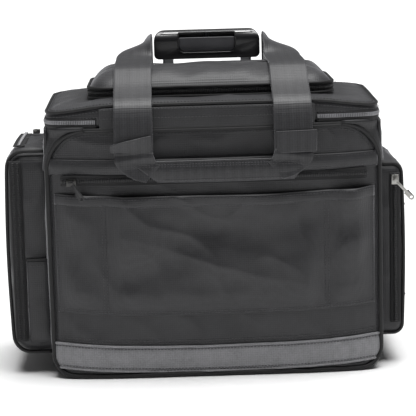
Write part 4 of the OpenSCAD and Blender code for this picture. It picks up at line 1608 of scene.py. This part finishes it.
def make_stage(sizes):
    """A pale floor, soft air that is brighter to the rear, one wide lamp overhead and the camera."""
    bpy.ops.object.select_all(action="DESELECT")
    bpy.ops.mesh.primitive_plane_add(size=FLOOR_SIZE, location=(0, 0, 0))
    floor = bpy.context.object
    floor.name = "studio_floor"
    material, tree, shader, place = start_material("studio paper", 0.9)
    shade = speckle(tree, place, 400.0)
    tree.links.new(blend_colour(tree, shade, "#f6f6f6", "#fbfbfb"), shader.inputs["Base Color"])
    floor.data.materials.append(material)
    scene = bpy.context.scene
    world = bpy.data.worlds.new("studio air")
    world.use_nodes = True
    air = world.node_tree
    way = add(air, "ShaderNodeTexCoord").outputs["Generated"]
    parts = add(air, "ShaderNodeSeparateXYZ", {}, {0: way})
    rear = add(
        air,
        "ShaderNodeMapRange",
        {"interpolation_type": "SMOOTHSTEP"},
        {"Value": parts.outputs["Y"], "From Min": -0.7, "From Max": 0.5, "To Min": 0.62, "To Max": 3.2},
    )
    side = add(
        air,
        "ShaderNodeMapRange",
        {},
        {"Value": parts.outputs["X"], "From Min": -1.0, "From Max": 1.0, "To Min": 1.12, "To Max": 0.86},
    )
    air.links.new(
        math_node(air, "MULTIPLY", rear.outputs[0], side.outputs[0]), air.nodes["Background"].inputs[1]
    )
    scene.world = world
    scene.view_settings.view_transform = "Standard"
    sun = bpy.data.lights.new("high soft lamp", "SUN")
    sun.energy = LAMP_STRENGTH
    sun.angle = math.radians(LAMP_WIDTH)
    lamp = bpy.data.objects.new("high soft lamp", sun)
    scene.collection.objects.link(lamp)
    lamp.matrix_world = LAMP_WAY.to_track_quat("-Z", "Y").to_matrix().to_4x4()
    camera_data = bpy.data.cameras.new("studio camera")
    camera = bpy.data.objects.new("studio camera", camera_data)
    scene.collection.objects.link(camera)
    camera_data.sensor_width = 36
    camera_data.lens = LENS
    camera_data.clip_end = 120
    turn = (TARGET - EYE).to_track_quat("-Z", "Y").to_matrix().to_4x4()
    camera.matrix_world = Matrix.Translation(EYE) @ turn @ Matrix.Rotation(math.radians(ROLL), 4, "Z")
    scene.camera = camera


# ---- Settings, operators and panel ----


class FlightBagSizes(bpy.types.PropertyGroup):
    """Sizes of the soft parts that may be changed"""

    bulge: FloatProperty(
        name="Front bulge", description="How far the front stands forward in its middle", default=0.014, min=0.0, max=0.02, unit="LENGTH"
    )
    seam_droop: FloatProperty(
        name="Seam droop", description="How far the front's level seams hang in their middle", default=0.007, min=0.0, max=0.015, unit="LENGTH"
    )
    wall_swell: FloatProperty(
        name="Wall swell", description="How far the side walls belly out", default=0.0055, min=0.0, max=0.01, unit="LENGTH"
    )


class FlightBagLook(bpy.types.PropertyGroup):
    """Colours that may be changed"""

    band: FloatVectorProperty(
        name="Foot band", description="Lighter thread of the grey band at the foot", default=linear("#9a9a9d")[:3], min=0.0, max=1.0, subtype="COLOR", size=3
    )


def piece_operator(word, label, text, build):
    """Makes the operator class for one group of pieces."""

    def execute(self, context):
        build(context.scene.flight_bag_sizes)
        return {"FINISHED"}

    return type(
        f"FLIGHTBAG_OT_{word}",
        (bpy.types.Operator,),
        {"__doc__": text, "bl_idname": f"flight_bag.{word}", "bl_label": label, "execute": execute},
    )


STEPS = [
    ("stage", "Stage", "Lays the floor, and sets the lights and the camera", make_stage),
    ("front", "Front panel", "Sews the front panel, its piping, the welt and the foot band", make_front),
    ("front_pockets", "Front pockets", "Sews the slip pocket and the zip above it", make_front_pockets),
    ("walls", "Walls", "Sews the side walls, the rear, the padded rim and the base", make_walls),
    ("lid", "Lid", "Sews the lid, its piping, zip and hinge cloth", make_lid),
    ("top_pocket", "Top pocket", "Fills the pocket on the lid", make_top_pocket),
    ("left_pocket", "Left pocket", "Fills the left side pocket", make_left_pocket),
    ("right_pocket", "Right pocket", "Fills the right side pocket", make_right_pocket),
    ("tabs", "Side tabs", "Sews the tabs on the side walls", make_tabs),
    ("handle", "Web handle", "Sews the web handle and its anchors", make_handle),
    ("trolley", "Trolley", "Moulds the grip and dresses the tubes", make_trolley),
    ("wheels", "Wheels", "Moulds the wheels and their housings", make_wheels),
    ("sliders", "Zip sliders", "Casts the zip sliders and their pulls", make_sliders),
]
OPERATORS = [piece_operator(*step) for step in STEPS]


class FLIGHTBAG_PT_panel(bpy.types.Panel):
    """Lists the bag's sizes and its making steps"""

    bl_label = "Flight bag"
    bl_idname = "FLIGHTBAG_PT_panel"
    bl_space_type = "VIEW_3D"
    bl_region_type = "UI"
    bl_category = "Flight bag"

    def draw(self, context):
        column = self.layout.column()
        for name in ("bulge", "seam_droop", "wall_swell"):
            column.prop(context.scene.flight_bag_sizes, name)
        column.prop(context.scene.flight_bag_look, "band")
        for operator in OPERATORS:
            column.operator(operator.bl_idname)


CLASSES = [FlightBagSizes, FlightBagLook] + OPERATORS + [FLIGHTBAG_PT_panel]


def register():
    for item in CLASSES:
        bpy.utils.register_class(item)
    bpy.types.Scene.flight_bag_sizes = PointerProperty(type=FlightBagSizes)
    bpy.types.Scene.flight_bag_look = PointerProperty(type=FlightBagLook)


def unregister():
    del bpy.types.Scene.flight_bag_look
    del bpy.types.Scene.flight_bag_sizes
    for item in reversed(CLASSES):
        bpy.utils.unregister_class(item)


def main():
    register()
    make_materials(bpy.context.scene.flight_bag_look)
    for word, _, _, _ in STEPS:
        getattr(bpy.ops.flight_bag, word)()


if __name__ == "__main__":
    main()
